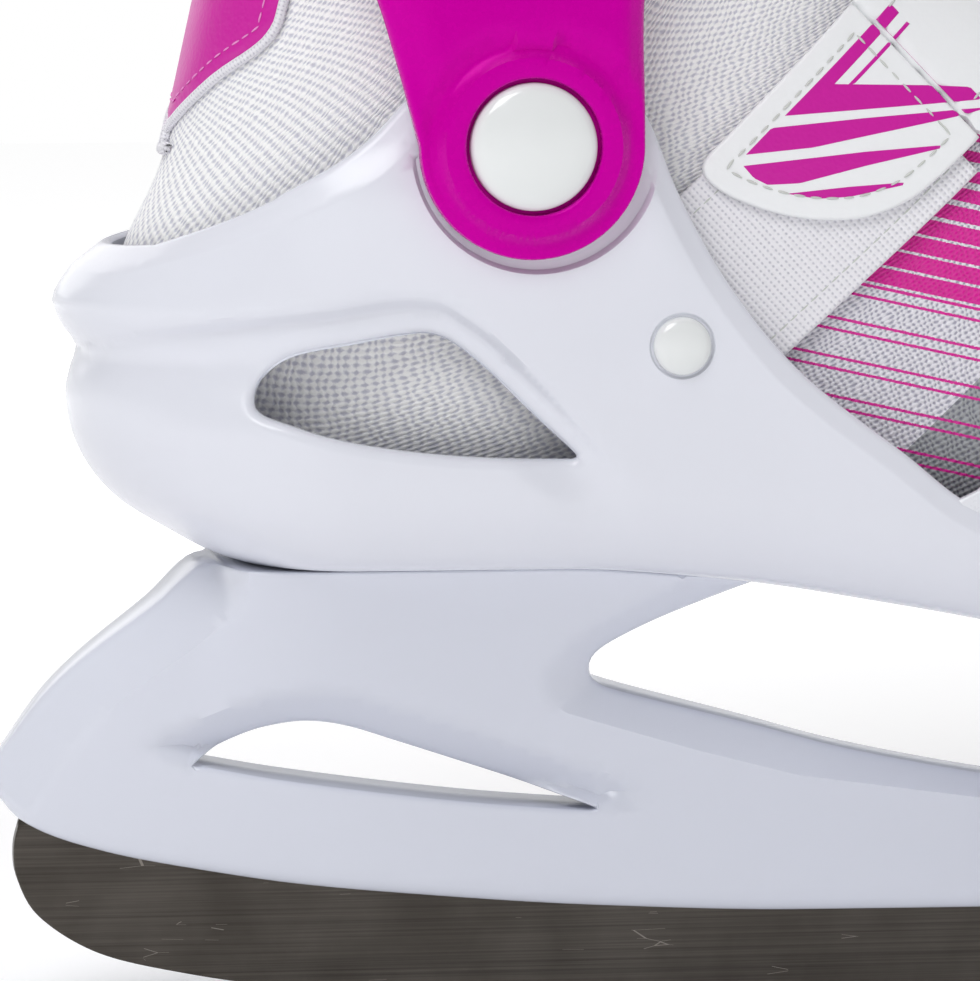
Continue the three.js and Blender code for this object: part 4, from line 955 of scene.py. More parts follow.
def shellRelief(flat, points):
    x, z = points[:, 0], points[:, 2]
    wall = easeBetween(flat[:, 1], 6, 14)
    away = distanceTo(flat, rimBoth, closed=False)
    heelShare = easeBetween(-x, 70, 95)
    band = shellLook["lipFront"] + (shellLook["lipHeel"] - shellLook["lipFront"]) * heelShare
    out = -shellLook["lipDepth"] * np.clip(1 - away / band, 0, 1)
    # the overhang between the heel's upper and lower lobes, which runs forward over the window
    below = creaseAt(x) - z
    strength = 0.25 + 0.75 * easeBetween(x, -132, -112)
    strength *= 1 - easeBetween(x, -70, -46)
    fade = 1 - easeBetween(below, 7, 19)
    out -= shellLook["creaseDepth"] * strength * easeBetween(below, -0.3, 2.4) * fade
    # a raised step round the lower half of the cuff's lug
    r = np.hypot(x - lugCentre[0], z - lugCentre[1])
    low = 1 - easeBetween(z, skate["pivotZ"] - 9, skate["pivotZ"] + 3)
    out += shellLook["lugRise"] * easeBetween(r, 19.0, 19.7) * (
        1 - easeBetween(r, 21, 42)
    ) * low * easeBetween(away, 0, 6)
    # shallow seat of the strap's rivet
    r = np.hypot(x - skate["rivetX"], z - skate["rivetZ"])
    out -= 0.4 * (1 - easeBetween(r, shellLook["rivetSeat"] - 0.25, shellLook["rivetSeat"] + 0.1))
    return out * wall


def shellOpenEdge(flat):
    return np.where(flat[:, 1] < -shellLook["floor"] + 0.3, 0.0, 1.0)


shellLoops = [
    shellOutline, shellFlat(sideWindow, -1), shellFlat(sideWindow, 1),
    shellFlat(buttonHole, -1),
]
rimBand = shellLook["lipFront"] + (
    shellLook["lipHeel"] - shellLook["lipFront"]
) * easeBetween(-shellPlace(rimBoth)[:, 0], 70, 95)
shellCreases = [offsetRun(rimBoth, side * rimBand) for side in (-1, 1)]
shellCreases += [offsetRun(rimBoth, side * (rimBand + 0.5)) for side in (-1, 1)]
for side in (-1, 1):
    for radius in (19.0, 19.35, 19.7):
        shellCreases.append(shellFlat(circleRun(lugCentre, radius, 185, 370), side))
    for radius in (4.95, 5.3):
        shellCreases.append(shellFlat(circleRun((skate["rivetX"], skate["rivetZ"]), radius), side))
    for drop in (-0.3, 0.6, 1.5, 2.4):
        shellCreases.append(
            shellFlat([(x, float(creaseAt(x)) - drop) for x in np.linspace(-133, -50, 90)], side)
        )
baseShell = wallPiece(
    "base_shell_moulding", shellLoops, shellPlace, skate["shellWall"], finish["shell"], 1.7,
    (0.8, shellLook["windowEdge"], shellLook["windowEdge"], 0.4), shellRelief, shellOpenEdge,
    creases=shellCreases
)
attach(baseShell, "base")
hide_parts("base_shell")
print("base shell made")

# blade holder: a hollow-sided beam with a rear chamfer and bevelled windows
holderFootAt = smoothFollow(
    [
        (-148, 37), (-143.6, 32), (-130.7, 26.8), (-114.5, 23.3), (-98.2, 20.6), (-81.9, 18.8),
        (-49.1, 16.1), (-16, 14.7), (60, 14.3), (100, 17), (125, 23), (140, 31), (148, 37)
    ]
)
holderTopAt = smoothFollow(
    [
        (-148, 40.5), (-138.4, 53.3), (-122.1, 66.6), (-113, 73.5), (-59, 73.5), (-34, 71.7), (-4, 67.1),
        (30, 60.7), (50, 57.9), (85, 56.2), (120, 57.7), (128, 57), (140, 47.5), (148, 39.5)
    ]
)
holderHalfAt = smoothFollow(
    [
        (-148, 5), (-138, 10), (-122, 17), (-110, 23), (-95, 26.5), (-20, 26.5), (60, 27), (105, 27),
        (125, 19), (140, 9), (148, 5)
    ]
)
holderLook = {"rail": 8.0, "rearChamfer": 8.5, "rearDepth": 0.55, "rearBevel": 5.5, "frontBevel": 5.0}
rearWindow = smoothRun([
    (-115.9, 40.6), (-112, 43), (-107, 45.3), (-102.9, 46.5), (-97.3, 47.2), (-90.7, 46.3), (-81.8, 43.4),
    (-66, 38), (-51.2, 32.9), (-50.6, 32.3),
    (-53, 32.2), (-68.7, 33.6), (-85, 35.6), (-101.3, 38), (-113, 40.2),
], 0.9, True)
rearBevel = np.array([
    (-132, 39.4), (-130.8, 40.6), (-121.6, 45.6), (-108.8, 51), (-103, 52.9), (-98.6, 53.6), (-91.5, 53.3),
    (-76.7, 48.5), (-57.3, 41.8), (-44, 36.5),
    (-36, 31.2), (-50.7, 31.0), (-68.7, 32.2), (-85, 34.3), (-101.3, 36.6), (-117, 38.9), (-126, 39.2),
])
frontBevel = np.array([
    (-30, 76), (-46.8, 67.6), (-54, 63.2), (-58.6, 58.5), (-60.2, 55), (-59.2, 51.5), (-56, 48.8),
    (-50, 46.9), (-33.6, 41.9), (-17.1, 37.5), (12.7, 33.2), (36, 31),
    (52, 32.4), (62, 38), (63, 48), (56, 58), (50, 64), (44, 76),
])
frontNotch = smoothRun([
    (-24, 71.4), (-30, 69), (-40.7, 64.3), (-48.1, 60.3), (-51, 57.9), (-51.6, 55.6), (-50.3, 53.3),
    (-45, 51.2), (-24.2, 45.6), (-7.5, 41), (14.2, 36.6), (32, 34.2),
    (42, 34.0), (51, 36.0), (56.6, 41), (56.8, 48), (53, 54), (49, 57.6),
], 1.0)
holderOutline = np.vstack([
    [(x, float(holderFootAt(x))) for x in np.linspace(-148, 148, 210)],
    [(x, float(holderTopAt(x))) for x in np.linspace(148, 50.5, 70)],
    frontNotch[::-1],
    [(x, float(holderTopAt(x))) for x in np.linspace(-26, -148, 90)],
])
frontWindowClosed = np.vstack([frontNotch, [(49, 70), (-24, 80)]])
rearEdge = np.array([(x, float(holderTopAt(x))) for x in np.linspace(-148, -113, 30)] + [(-148, 37)])


def bevelShare(flat, outer, window):
    inside = insideOf(flat, outer)
    toOuter, toWindow = distanceTo(flat, outer), distanceTo(flat, window)
    return np.where(inside, toOuter / np.maximum(toOuter + toWindow, 1e-6), 0)


def holderHalf(flat):
    x, z = flat[:, 0], flat[:, 1]
    foot, top = holderFootAt(x), holderTopAt(x)
    t = np.clip((z - foot) / (top - foot), 0, 1)
    topHalf = holderHalfAt(x)
    rail = np.minimum(holderLook["rail"], topHalf)
    half = rail + (topHalf - rail) * t ** 2.2
    away = distanceTo(flat, rearEdge[:-1], closed=False)
    chamfer = np.clip(1 - away / holderLook["rearChamfer"], 0, 1) * (1 - easeBetween(x, -113, -108))
    half *= 1 - holderLook["rearDepth"] * chamfer
    overSill = easeBetween(z - (40.6 - 0.127 * (x + 115.9)), 0.2, 3.5)
    half -= holderLook["rearBevel"] * bevelShare(
        flat, rearBevel, rearWindow
    ) * easeBetween(half, 3, 9) * overSill
    half -= holderLook["frontBevel"] * bevelShare(
        flat, frontBevel, frontWindowClosed
    ) * easeBetween(half, 3, 9)
    half -= 1.2 * np.clip(1 - (z - foot) / 1.6, 0, 1)
    return np.maximum(half, 2.6)


holderCreases = [resample(rearBevel, 1.0, True), resample(frontBevel, 1.0, True)]
holderCreases += [offsetRun(rearEdge[:-1], side * holderLook["rearChamfer"]) for side in (-1, 1)]
bladeHolder = pillowPiece(
    "blade_holder_moulding", [holderOutline, rearWindow], holderHalf, finish["holder"], 1.7, 0.9,
    creases=holderCreases
)
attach(bladeHolder, "base")
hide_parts("blade_holder")
print("blade holder made")

# blade: ground steel with rounded heel and toe and slightly broken edges
bladeEdge = smoothRun([
    (-143.3, 31.4), (-144.3, 26.9), (-143.7, 21.6), (-140.1, 15.3), (-130.4, 9.2), (-115.8, 5.5),
    (-100, 2.9), (-85, 1.2), (-60, 0.05), (0, 0.02),
    (70, 0.05), (95, 1.6), (118, 6), (132, 12), (140, 21), (143, 31),
], 1.2)
bladeTop = [(x, float(holderFootAt(x)) + 5) for x in np.linspace(138, -138, 120)]
blade = pillowPiece(
    "runner_blade", [np.vstack([bladeEdge, bladeTop])], lambda flat: np.full(len(flat), 1.75),
    finish["steel"], 4.0, 0.25
)
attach(blade, "base")
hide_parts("blade")
print("blade made")

# ankle cuff: arms with a flat panel between bevels, a ring boss round the pivot and a band round the back
cuffLook = {
    "columns": 220, "panelEdge": 6.0, "panelFront": 3.2, "bevelDepth": 2.0, "bossRadius": 14.6,
    "capSeat": 10.7
}
cuffSections = [
    (-138, 108, 8, 108, 42.4, 0.42, 0.42), (-127, 152, 12, 160, 42.4, 0.45, 0.42),
    (-114.5, 182, 14, 198, 42.4, 0.6, 0.5),
    (-110.3, 200, 16, 218, 42, 0.72, 0.6), (-105.8, 226, 20, 246, 41.8, 0.78, 0.6),
    (-103.6, 250, 26, 268, 42.2, 0.78, 0.6),
    (-104.2, 275, 30, 290, 43.4, 0.78, 0.6),
]
cuffRows = sectionRows(cuffSections, np.linspace(0, 6, 121), cuffLook["columns"], 3.2, "back")
cuffColumn = float(np.linalg.norm(np.diff(cuffRows[60], axis=0), axis=1).mean())
cuffRow = 1.4
cuffPlace = gridSurface(cuffRows, cuffColumn, cuffRow)
pivotX, pivotZ = skate["pivotX"], skate["pivotZ"]
lugArc = [(pivotX + 17.7 * math.cos(a), pivotZ + 17.7 * math.sin(a)) for a in np.linspace(0, -math.pi, 50)]
cuffFront = smoothRun(
    [
        lugArc[0], (-48.1, 152), (-48, 164), (-46.4, 188), (-41, 206), (-37, 226), (-35.4, 244), (-38, 253),
        (-46, 258), (-58, 260.5), (-70, 261.5), (-86, 260), (-98, 258)
    ],
    1.3
)
cuffRear = smoothRun(
    [(-109, 188.5), (-101.5, 183.5), (-94.5, 174.5), (-90.2, 164.6), (-87.2, 155.0), lugArc[-1]], 1.3
)
sideOutline = np.vstack([cuffRear[:-1], np.array(lugArc)[::-1][:-1], cuffFront])
cuffHalf = findOnGrid(cuffRows, cuffColumn, cuffRow, cuffPlace, sideOutline, -1)
middleColumn = cuffLook["columns"] * cuffColumn
backLow = findOnGrid(cuffRows, cuffColumn, cuffRow, cuffPlace, [(-112.4, 191)], -1)[0]
lowRun = smoothRun(
    [(middleColumn, backLow[1] + 4), (middleColumn - 10, backLow[1] + 3.6), tuple(cuffHalf[0])], 1.3
)
topRun = smoothRun(
    [tuple(cuffHalf[-1]), (middleColumn - 14, cuffHalf[-1][1] - 1.6), (middleColumn, cuffHalf[-1][1] - 2.2)],
    1.3
)
cuffSide = np.vstack([lowRun[:-1], cuffHalf, topRun[1:]])
cuffOther = (cuffSide * [-1, 1] + [2 * middleColumn, 0])[::-1]
cuffLoop = np.vstack([cuffSide, cuffOther[1:-1]])
armLine = np.array(sideOutline)


def cuffRelief(flat, points):
    x, z = points[:, 0], points[:, 2]
    sideView = points[:, [0, 2]]
    side = easeBetween(np.abs(points[:, 1]), 30, 38)
    r = np.hypot(x - pivotX, z - pivotZ)
    away = distanceTo(sideView, armLine, closed=False)
    band = np.where(x < pivotX, cuffLook["panelEdge"], cuffLook["panelFront"])
    arm = easeBetween(z, pivotZ - 2, pivotZ + 14)
    bevel = -cuffLook["bevelDepth"] * np.clip(1 - away / band, 0, 1) * arm * side
    lug = 0.8 * (1 - easeBetween(r, 17.7, 30)) * side
    ring = 0.9 * (1 - easeBetween(r, cuffLook["bossRadius"] - 0.7, cuffLook["bossRadius"] + 0.5)) * side
    dish = -0.9 * np.exp(-((r - 16.3) / 1.6) ** 2) * side
    return bevel + lug + ring + dish * (z < pivotZ + 16)


# side-view points on the cuff's sheet, for the outer or the inner arm
def cuffFlat(sideView, side):
    found = findOnGrid(cuffRows, cuffColumn, cuffRow, cuffPlace, sideView, -1)
    return found if side < 0 else (found * [-1, 1] + [2 * middleColumn, 0])[::-1]


seatHoles = [cuffFlat(circleRun((pivotX, pivotZ), cuffLook["capSeat"]), side) for side in (-1, 1)]
cuffCreases = []
for side in (-1, 1):
    for radius in (cuffLook["bossRadius"] - 0.7, cuffLook["bossRadius"] + 0.5, 16.3):
        cuffCreases.append(cuffFlat(circleRun((pivotX, pivotZ), radius), side))
    for line, band in ((cuffFront[:150], cuffLook["panelFront"]), (cuffRear, cuffLook["panelEdge"])):
        for turn in (-1, 1):
            cuffCreases.append(cuffFlat(offsetRun(line, turn * band), side))
cuff = wallPiece(
    "ankle_cuff_moulding", [cuffLoop] + seatHoles, cuffPlace, 3.2, finish["magenta"], 1.5,
    (0.9, 0.45, 0.45), cuffRelief, creases=cuffCreases
)
for side, word in ((-1, "outer"), (1, "inner")):
    ring = [(10.95, 44.9), (10.95, 44.2), (9.2, 44.2), (9.2, 44.9), (10.95, 44.9)]
    seat = turnedPiece(f"pivot_seat_{word}", ring, (pivotX, pivotZ), side, finish["magenta"])
    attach(seat, "cuff")
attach(cuff, "cuff")
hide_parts("cuff")
print("cuff made")

# round caps over the pivots and the strap's rivets
capLook = {
    "pivot": [
        (0.01, 49.0), (4, 48.85), (7, 48.45), (8.6, 48.05), (9.4, 47.6), (9.85, 47.0), (10, 46.3),
        (10, 45.0), (9.6, 44.6), (0.01, 44.6)
    ],
    "rivet": [
        (0.01, 1.75), (2, 1.68), (3.4, 1.42), (4.1, 1.1), (4.5, 0.6), (4.6, 0.1), (4.6, -0.2), (2.2, -0.25),
        (2.2, -6), (0.01, -6)
    ],
    "rivetSeat": 41.9,
}
for side, word in ((-1, "outer"), (1, "inner")):
    cap = turnedPiece(f"pivot_cap_{word}_dome", capLook["pivot"], (pivotX, pivotZ), side, finish["cap"])
    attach(cap, "base")
    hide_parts(f"pivot_cap_{word}")
    dome = [(r, capLook["rivetSeat"] + h) for r, h in capLook["rivet"]]
    rivet = turnedPiece(
        f"strap_rivet_{word}_dome", dome, (skate["rivetX"], skate["rivetZ"]), side, finish["cap"]
    )
    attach(rivet, "base")
    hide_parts(f"strap_rivet_{word}")
print("caps made")

# the soft boot: one lofted body that the liner, its layers and the straps are laid on
bootLook = {"columns": 200, "row": 2.2, "throatHalf": 14.0, "throatStart": 6.5}


def underLiner(x):
    return float(soleAt(x)) + 6.0


bootSections = [
    (143, underLiner(143) + 3.5, 143.5, 76, 8, 0.9, 0.92), (138, underLiner(138) + 1, 139, 85, 20, 0.8, 0.92),
    (128, underLiner(128), 130, 95, 30.5, 0.7, 0.92), (110, underLiner(110), 113, 104, 39, 0.5, 0.92),
    (88, underLiner(88), 90, 111, 41, 0.46, 0.92), (64, underLiner(64), 68, 118, 39, 0.46, 0.92),
    (40, underLiner(40), 50, 132, 38.5, 0.46, 0.92), (8, underLiner(8), 33, 147, 37, 0.48, 0.92),
    (-25, underLiner(-25) + 0.5, 19, 160, 35, 0.52, 0.92),
    (-68, underLiner(-68) + 0.5, 8, 170, 33.8, 0.58, 0.92),
    (-106, underLiner(-106) + 1.5, 0, 177.5, 33.4, 0.7, 0.92), (-124, 89.5, -5, 182.5, 33.4, 0.9, 0.92),
    (-130, 104, -8, 186.5, 33.6, 1, 0.92), (-126.5, 122, -10.5, 191, 33.8, 1, 0.92),
    (-119.5, 138, -13, 199, 34.4, 1, 0.92),
    (-114, 161, -13.5, 226, 35.2, 1, 0.92), (-107, 195, -9, 246, 36, 1, 0.92),
    (-101, 230, -2, 264, 37, 1, 0.92),
    (-98.5, 262, 5, 282, 38.5, 1, 0.92), (-100, 284, 10, 293, 39.5, 1, 0.92),
    (-101, 306, 16, 309, 39.5, 1, 0.92),
]
collar = 19


# a thick skin on the boot: rows of places, with an opening at the instep and rounded open edges
def bootSkin(
        name, places, outer, inner, material, throat, roundStart, roundEnd, folds=None, closedStart=False
):
    outerRows = sectionRows(bootSections, places, bootLook["columns"], outer, "back")
    innerRows = sectionRows(bootSections, places, bootLook["columns"], inner, "back")
    high, wide = outerRows.shape[:2]
    verts = np.zeros((2, high, wide, 3))
    uv = np.zeros((high, wide, 2))
    thick = outer - inner
    rowGap = np.linalg.norm(np.diff(outerRows, axis=0), axis=2)
    rowAt = np.concatenate([[0], np.cumsum(rowGap.mean(1))])
    for r in range(high):
        line, under = outerRows[r], innerRows[r]
        at = np.concatenate([[0], np.cumsum(np.linalg.norm(np.diff(line, axis=0), axis=1))])
        cut = throat(places[r])
        # where the opening's edge meets this row
        start = np.interp(cut, np.abs(line[: wide // 4, 1]), at[: wide // 4]) if cut > 0 else 0.0
        share = start / at[-1]
        new = share + (1 - 2 * share) * np.linspace(0, 1, wide)
        edge = 1.6 / at[-1]
        if cut > 0:  # closer columns at the edge let it be rounded
            for k, d in enumerate((0, 0.12, 0.45, 1.0, 1.7, 2.6)):
                new[k] = share + edge * d * 0.9
                new[-1 - k] = 1 - new[k]
            new[6:-6] = np.linspace(new[5], new[-6], wide - 10)[1:-1]
        old = at / at[-1]
        shape = np.column_stack([np.interp(new, old, line[:, k]) for k in range(3)])
        inside = np.column_stack([np.interp(new, old, under[:, k]) for k in range(3)])
        out = shape - inside
        length = np.maximum(np.linalg.norm(out, axis=1, keepdims=True), 1e-6)
        radius = thick / 2
        away = np.full(wide, 1e9)
        if cut > 0:
            away = np.minimum(new - share, 1 - share - new) * at[-1]
        if roundEnd:
            away = np.minimum(away, rowAt[-1] - rowAt[r])
        if roundStart:
            away = np.minimum(away, rowAt[r])
        drop = edgeDrop(away, radius)[:, None]
        verts[0, r] = shape - out / length * drop
        verts[1, r] = inside + out / length * drop
        if folds is not None:
            push = folds(shape, r, new)[:, None]
            if cut > 0 or roundEnd:
                push = push * easeBetween(away, 0, 6)[:, None]
            verts[0, r] += out / length * push
        uv[r, :, 0] = (new - 0.5) * at[-1]
        uv[r, :, 1] = rowAt[r]
    count = high * wide
    index = np.arange(count).reshape(high, wide)
    faces = []
    for r in range(high - 1):
        for c in range(wide - 1):
            a, b, d, e = index[r, c], index[r, c + 1], index[r + 1, c + 1], index[r + 1, c]
            faces.append((a, b, d, e))
            faces.append((count + e, count + d, count + b, count + a))
        if throat(places[r]) > 0 and throat(places[r + 1]) > 0:
            for c in (0, wide - 1):
                faces.append((index[r, c], index[r + 1, c], count + index[r + 1, c], count + index[r, c]))
    for r in (0, high - 1):
        if r == 0 and closedStart:
            continue
        for c in range(wide - 1):
            faces.append((index[r, c], index[r, c + 1], count + index[r, c + 1], count + index[r, c]))
    coords = np.vstack([uv.reshape(-1, 2), uv.reshape(-1, 2)])
    return newObject(name, verts.reshape(-1, 3), faces, material, smooth=60, uv=coords, mergeAt=0.01)


def throatWidth(p):
    if p <= bootLook["throatStart"]:
        return 0.0
    return bootLook["throatHalf"] * math.sqrt(min(1.0, (p - bootLook["throatStart"]) / 0.9))


def bootPlaces(start, end, spacing, roundStart, roundEnd):
    steps = [start]
    keys = [np.array([s[k] for s in bootSections], float) for k in range(4)]
    while steps[-1] < end - 1e-6:
        p = steps[-1]
        i = min(int(p), len(bootSections) - 2)
        length = max(
            math.hypot(keys[0][i + 1] - keys[0][i], keys[1][i + 1] - keys[1][i]),
            math.hypot(keys[2][i + 1] - keys[2][i], keys[3][i + 1] - keys[3][i])
        )
        step = spacing / max(length, 1)
        near = min(p - start if roundStart else 9, end - p if roundEnd else 9) * length
        if near < 5:
            step *= 0.3
        steps.append(min(end, p + step))
    return np.array(steps)


# slight puffs between the stitch lines of the padded shaft, and creases where the ankle bends
def shaftFolds(shape, row, across):
    x, y, z = shape[:, 0], shape[:, 1], shape[:, 2]
    ripple = 0.5 * np.sin(z * 0.11 + 0.6 * np.sin(x * 0.07)) * easeBetween(z, 150, 190)
    bend = 0.35 * np.sin((z - 0.45 * x) * 0.33) * np.exp(-((z - 158) / 24) ** 2) * easeBetween(x, -70, -35)
    pad = 0.8 * np.exp(-((z - 272) / 16) ** 2)
    return ripple * 0.5 + bend + pad


quarterPlaces = bootPlaces(8.6, collar, bootLook["row"] * coarse, False, True)
quarter = bootSkin(
    "knit_quarter", quarterPlaces, 0.0, -5.0, finish["knit"], throatWidth, False, True, shaftFolds
)
vampPlaces = bootPlaces(0.0, 8.58, bootLook["row"] * coarse, False, False)
vamp = bootSkin("printed_vamp", vampPlaces, 0.0, -4.0, finish["print"], throatWidth, False, False)
print("boot liner made")


# cloth pressure swells a padded skin a little between the edges that hold it
def swell(obj, cap, steps, pressure, held):
    before = np.zeros(len(obj.data.vertices) * 3)
    obj.data.vertices.foreach_get("co", before)
    before = before.reshape(-1, 3)
    group = obj.vertex_groups.new(name="held")
    group.add([int(i) for i in np.nonzero(held(before / mm))[0]], 1.0, "REPLACE")
    cloth = obj.modifiers.new("swell", "CLOTH")
    settings = cloth.settings
    settings.vertex_group_mass = "held"
    settings.use_pressure = True
    settings.uniform_pressure_force = pressure
    settings.effector_weights.gravity = 0
    settings.quality = 4
    settings.tension_stiffness = 25
    settings.bending_stiffness = 6
    cloth.collision_settings.use_collision = False
    cloth.point_cache.frame_start = 1
    cloth.point_cache.frame_end = steps
    for f in range(1, steps + 1):
        bpy.context.scene.frame_set(f)
    done = obj.evaluated_get(bpy.context.evaluated_depsgraph_get())
    after = np.zeros(len(before) * 3)
    done.data.vertices.foreach_get("co", after)
    after = after.reshape(-1, 3)
    move = after - before
    length = np.maximum(np.linalg.norm(move, axis=1, keepdims=True), 1e-12)
    move *= np.minimum(1, cap * mm / length)
    obj.modifiers.remove(cloth)
    obj.vertex_groups.clear()
    obj.data.vertices.foreach_set("co", (before + move).ravel())
    obj.data.update()
    bpy.context.scene.frame_set(1)


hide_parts("liner_boot", "liner_ankle", "liner_shaft")
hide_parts("liner_toe", "liner_stretch")

# tongue: one padded piece up the instep
tongueLook = {"half": 22.0, "offset": -5.3, "thick": 5.0}
tonguePlaces = bootPlaces(6.6, 19.75, 2.6 * coarse, True, True)


def tonguePiece():
    columns = 36
    rows = []
    outerRows = sectionRows(bootSections, tonguePlaces, 240, tongueLook["offset"], "back")
    innerRows = sectionRows(
        bootSections, tonguePlaces, 240, tongueLook["offset"] - tongueLook["thick"], "back"
    )
    rowAt = np.concatenate([[0], np.cumsum(np.linalg.norm(np.diff(outerRows[:, 0], axis=0), axis=1))])
    top, bottom, uv = [], [], []
    for r in range(len(tonguePlaces)):
        out, inn = outerRows[r], innerRows[r]
        edgeAway = min(rowAt[r], rowAt[-1] - rowAt[r])
        narrow = tongueLook["half"] * (
            1 - 0.5 * (1 - math.sqrt(max(0.0, 1 - max(0.0, 1 - edgeAway / 16) ** 2)))
        )
        ys = narrow * np.sin(np.linspace(-1, 1, columns + 1) * math.pi / 2)
        lineOut, lineIn = [], []
        for y in ys:
            side = out[: 60] if y <= 0 else out[::-1][: 60]
            under = inn[: 60] if y <= 0 else inn[::-1][: 60]
            lineOut.append(
                [
                    np.interp(abs(y), np.abs(side[:, 1]), side[:, 0]), y,
                    np.interp(abs(y), np.abs(side[:, 1]), side[:, 2])
                ]
            )
            lineIn.append(
                [
                    np.interp(abs(y), np.abs(under[:, 1]), under[:, 0]), y,
                    np.interp(abs(y), np.abs(under[:, 1]), under[:, 2])
                ]
            )
        lineOut, lineIn = np.array(lineOut), np.array(lineIn)
        away = np.minimum(narrow - np.abs(ys), edgeAway)
        drop = edgeDrop(away, 2.5)[:, None]
        d = lineOut - lineIn
        d /= np.maximum(np.linalg.norm(d, axis=1, keepdims=True), 1e-6)
        top.append(lineOut - d * drop)
        bottom.append(lineIn + d * drop)
        uv.append(np.column_stack([ys, np.full(len(ys), rowAt[r])]))
    top, bottom, uv = np.array(top), np.array(bottom), np.array(uv)
    high, wide = top.shape[:2]
    count = high * wide
    index = np.arange(count).reshape(high, wide)
    faces = []
    for r in range(high - 1):
        for c in range(wide - 1):
            a, b, d, e = index[r, c], index[r, c + 1], index[r + 1, c + 1], index[r + 1, c]
            faces += [(a, b, d, e), (count + e, count + d, count + b, count + a)]
        for c in (0, wide - 1):
            faces.append((index[r, c], index[r + 1, c], count + index[r + 1, c], count + index[r, c]))
    for r in (0, high - 1):
        for c in range(wide - 1):
            faces.append((index[r, c], index[r, c + 1], count + index[r, c + 1], count + index[r, c]))
    coords = np.vstack([uv.reshape(-1, 2)] * 2)
    return newObject(
        "padded_tongue", np.vstack([top.reshape(-1, 3), bottom.reshape(-1, 3)]), faces, finish["lining"],
        smooth=60, uv=coords, mergeAt=0.01
    )


tongue = tonguePiece()
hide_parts("tongue_lower", "tongue_upper")
swell(tongue, 1.2, 8, 3.0, lambda p: p[:, 2] < 178)
print("tongue swelled")
# bakes a shaft piece's placement into its mesh
def followShaft(piece):
    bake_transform(piece)


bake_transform(tongue)
swell(quarter, 0.9, 6, 2.0, lambda p: (p[:, 2] < 150) | (p[:, 2] > 285) | (np.abs(p[:, 1]) < 17))
print("liner swelled")
followShaft(quarter)
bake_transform(vamp)
print("tongue made")

# dense surfaces of the boot at a height, as rows and a smooth reader of them
def bootSurface(start, end, offset, count=160):
    rows = sectionRows(bootSections, np.linspace(start, end, count), bootLook["columns"], offset, "back")
    column = float(np.linalg.norm(np.diff(rows[count // 2], axis=0), axis=1).mean())
    row = 1.2
    return rows, column, row, gridSurface(rows, column, row)


# instep strap, its free end and the loop tape, laid in the strap's own frame: t up the instep, s across
strapLook = {
    "angle": 42.6, "low": -19.4, "high": 9.4, "tapeOffset": 1.2, "offset": 2.7, "thick": 1.5,
    "tapeThick": 1.2, "stitch": 3.4
}
lean = math.radians(strapLook["angle"])
strapUp = np.array([math.cos(lean), math.sin(lean)])
strapOver = np.array([math.sin(lean), -math.cos(lean)])
rivetAt = np.array([skate["rivetX"], skate["rivetZ"]])


def onStrap(flat):
    flat = np.asarray(flat, float)
    return rivetAt + flat[:, :1] * strapUp + flat[:, 1:] * strapOver


strapRows, strapColumn, strapRow, strapSurface = bootSurface(
    4.0, 13.5, strapLook["offset"] + strapLook["thick"]
)
tapeRows, tapeColumn, tapeRow, tapeSurface = bootSurface(
    4.0, 13.5, strapLook["tapeOffset"] + strapLook["tapeThick"]
)


# reads the boot's side at strap places by a smooth sheet of heights
def sideReader(rows, column, row, place, tRange, sRange):
    ts, ss = np.linspace(*tRange, 60), np.linspace(*sRange, 26)
    tt, sv = np.meshgrid(ts, ss)
    where = onStrap(np.column_stack([tt.ravel(), sv.ravel()]))
    found = place(findOnGrid(rows, column, row, place, where, -1))
    heights = np.zeros((26, 60, 3))
    heights[:] = found.reshape(26, 60, 3)
    reader = gridSurface(heights, (tRange[1] - tRange[0]) / 59, (sRange[1] - sRange[0]) / 25)

    def placeAt(flat):
        return reader(flat - [tRange[0], sRange[0]])

    return placeAt


tapePlaceAt = sideReader(tapeRows, tapeColumn, tapeRow, tapeSurface, (-12, 62), (-22, 18))
strapPlaceAt = sideReader(strapRows, strapColumn, strapRow, strapSurface, (10, 63), (-24, 18))
tapeLoop = resample([(-8, -16.7), (54, -16.7), (54, 13.3), (-8, 13.3)], 1.3, True)
tape = wallPiece(
    "loop_tape_woven", [tapeLoop], tapePlaceAt, strapLook["tapeThick"], finish["tape"], 1.8, (0.5,),
    uv=lambda flat, points: flat[:, ::-1]
)
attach(tape, "base")
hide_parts("loop_tape")

tabEdge = smoothRun([
    (57.9, -9.4), (54.3, -9.4), (48, -9.2), (42.8, -8.6), (38.3, -7.1), (34.7, -5.2), (31.1, -2.3), (28, 1),
    (25.3, 4.7), (23.1, 8.6),
    (21.5, 12.4), (21, 15.2), (21.1, 16.8), (21.9, 17.9), (23.4, 18.4),
], 0.9)
tabLoop = np.vstack(
    [
        tabEdge, resample([(24.5, 18.5), (57.9, 19.4)], 1.2, False),
        resample([(57.9, 18.4), (57.9, -8.6)], 1.2, False)
    ]
) * [1, -1]
tab = wallPiece(
    "strap_free_end", [tabLoop], strapPlaceAt, strapLook["thick"], finish["leather"], 1.4, (0.55,)
)
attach(tab, "tab")
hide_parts("strap_tab")


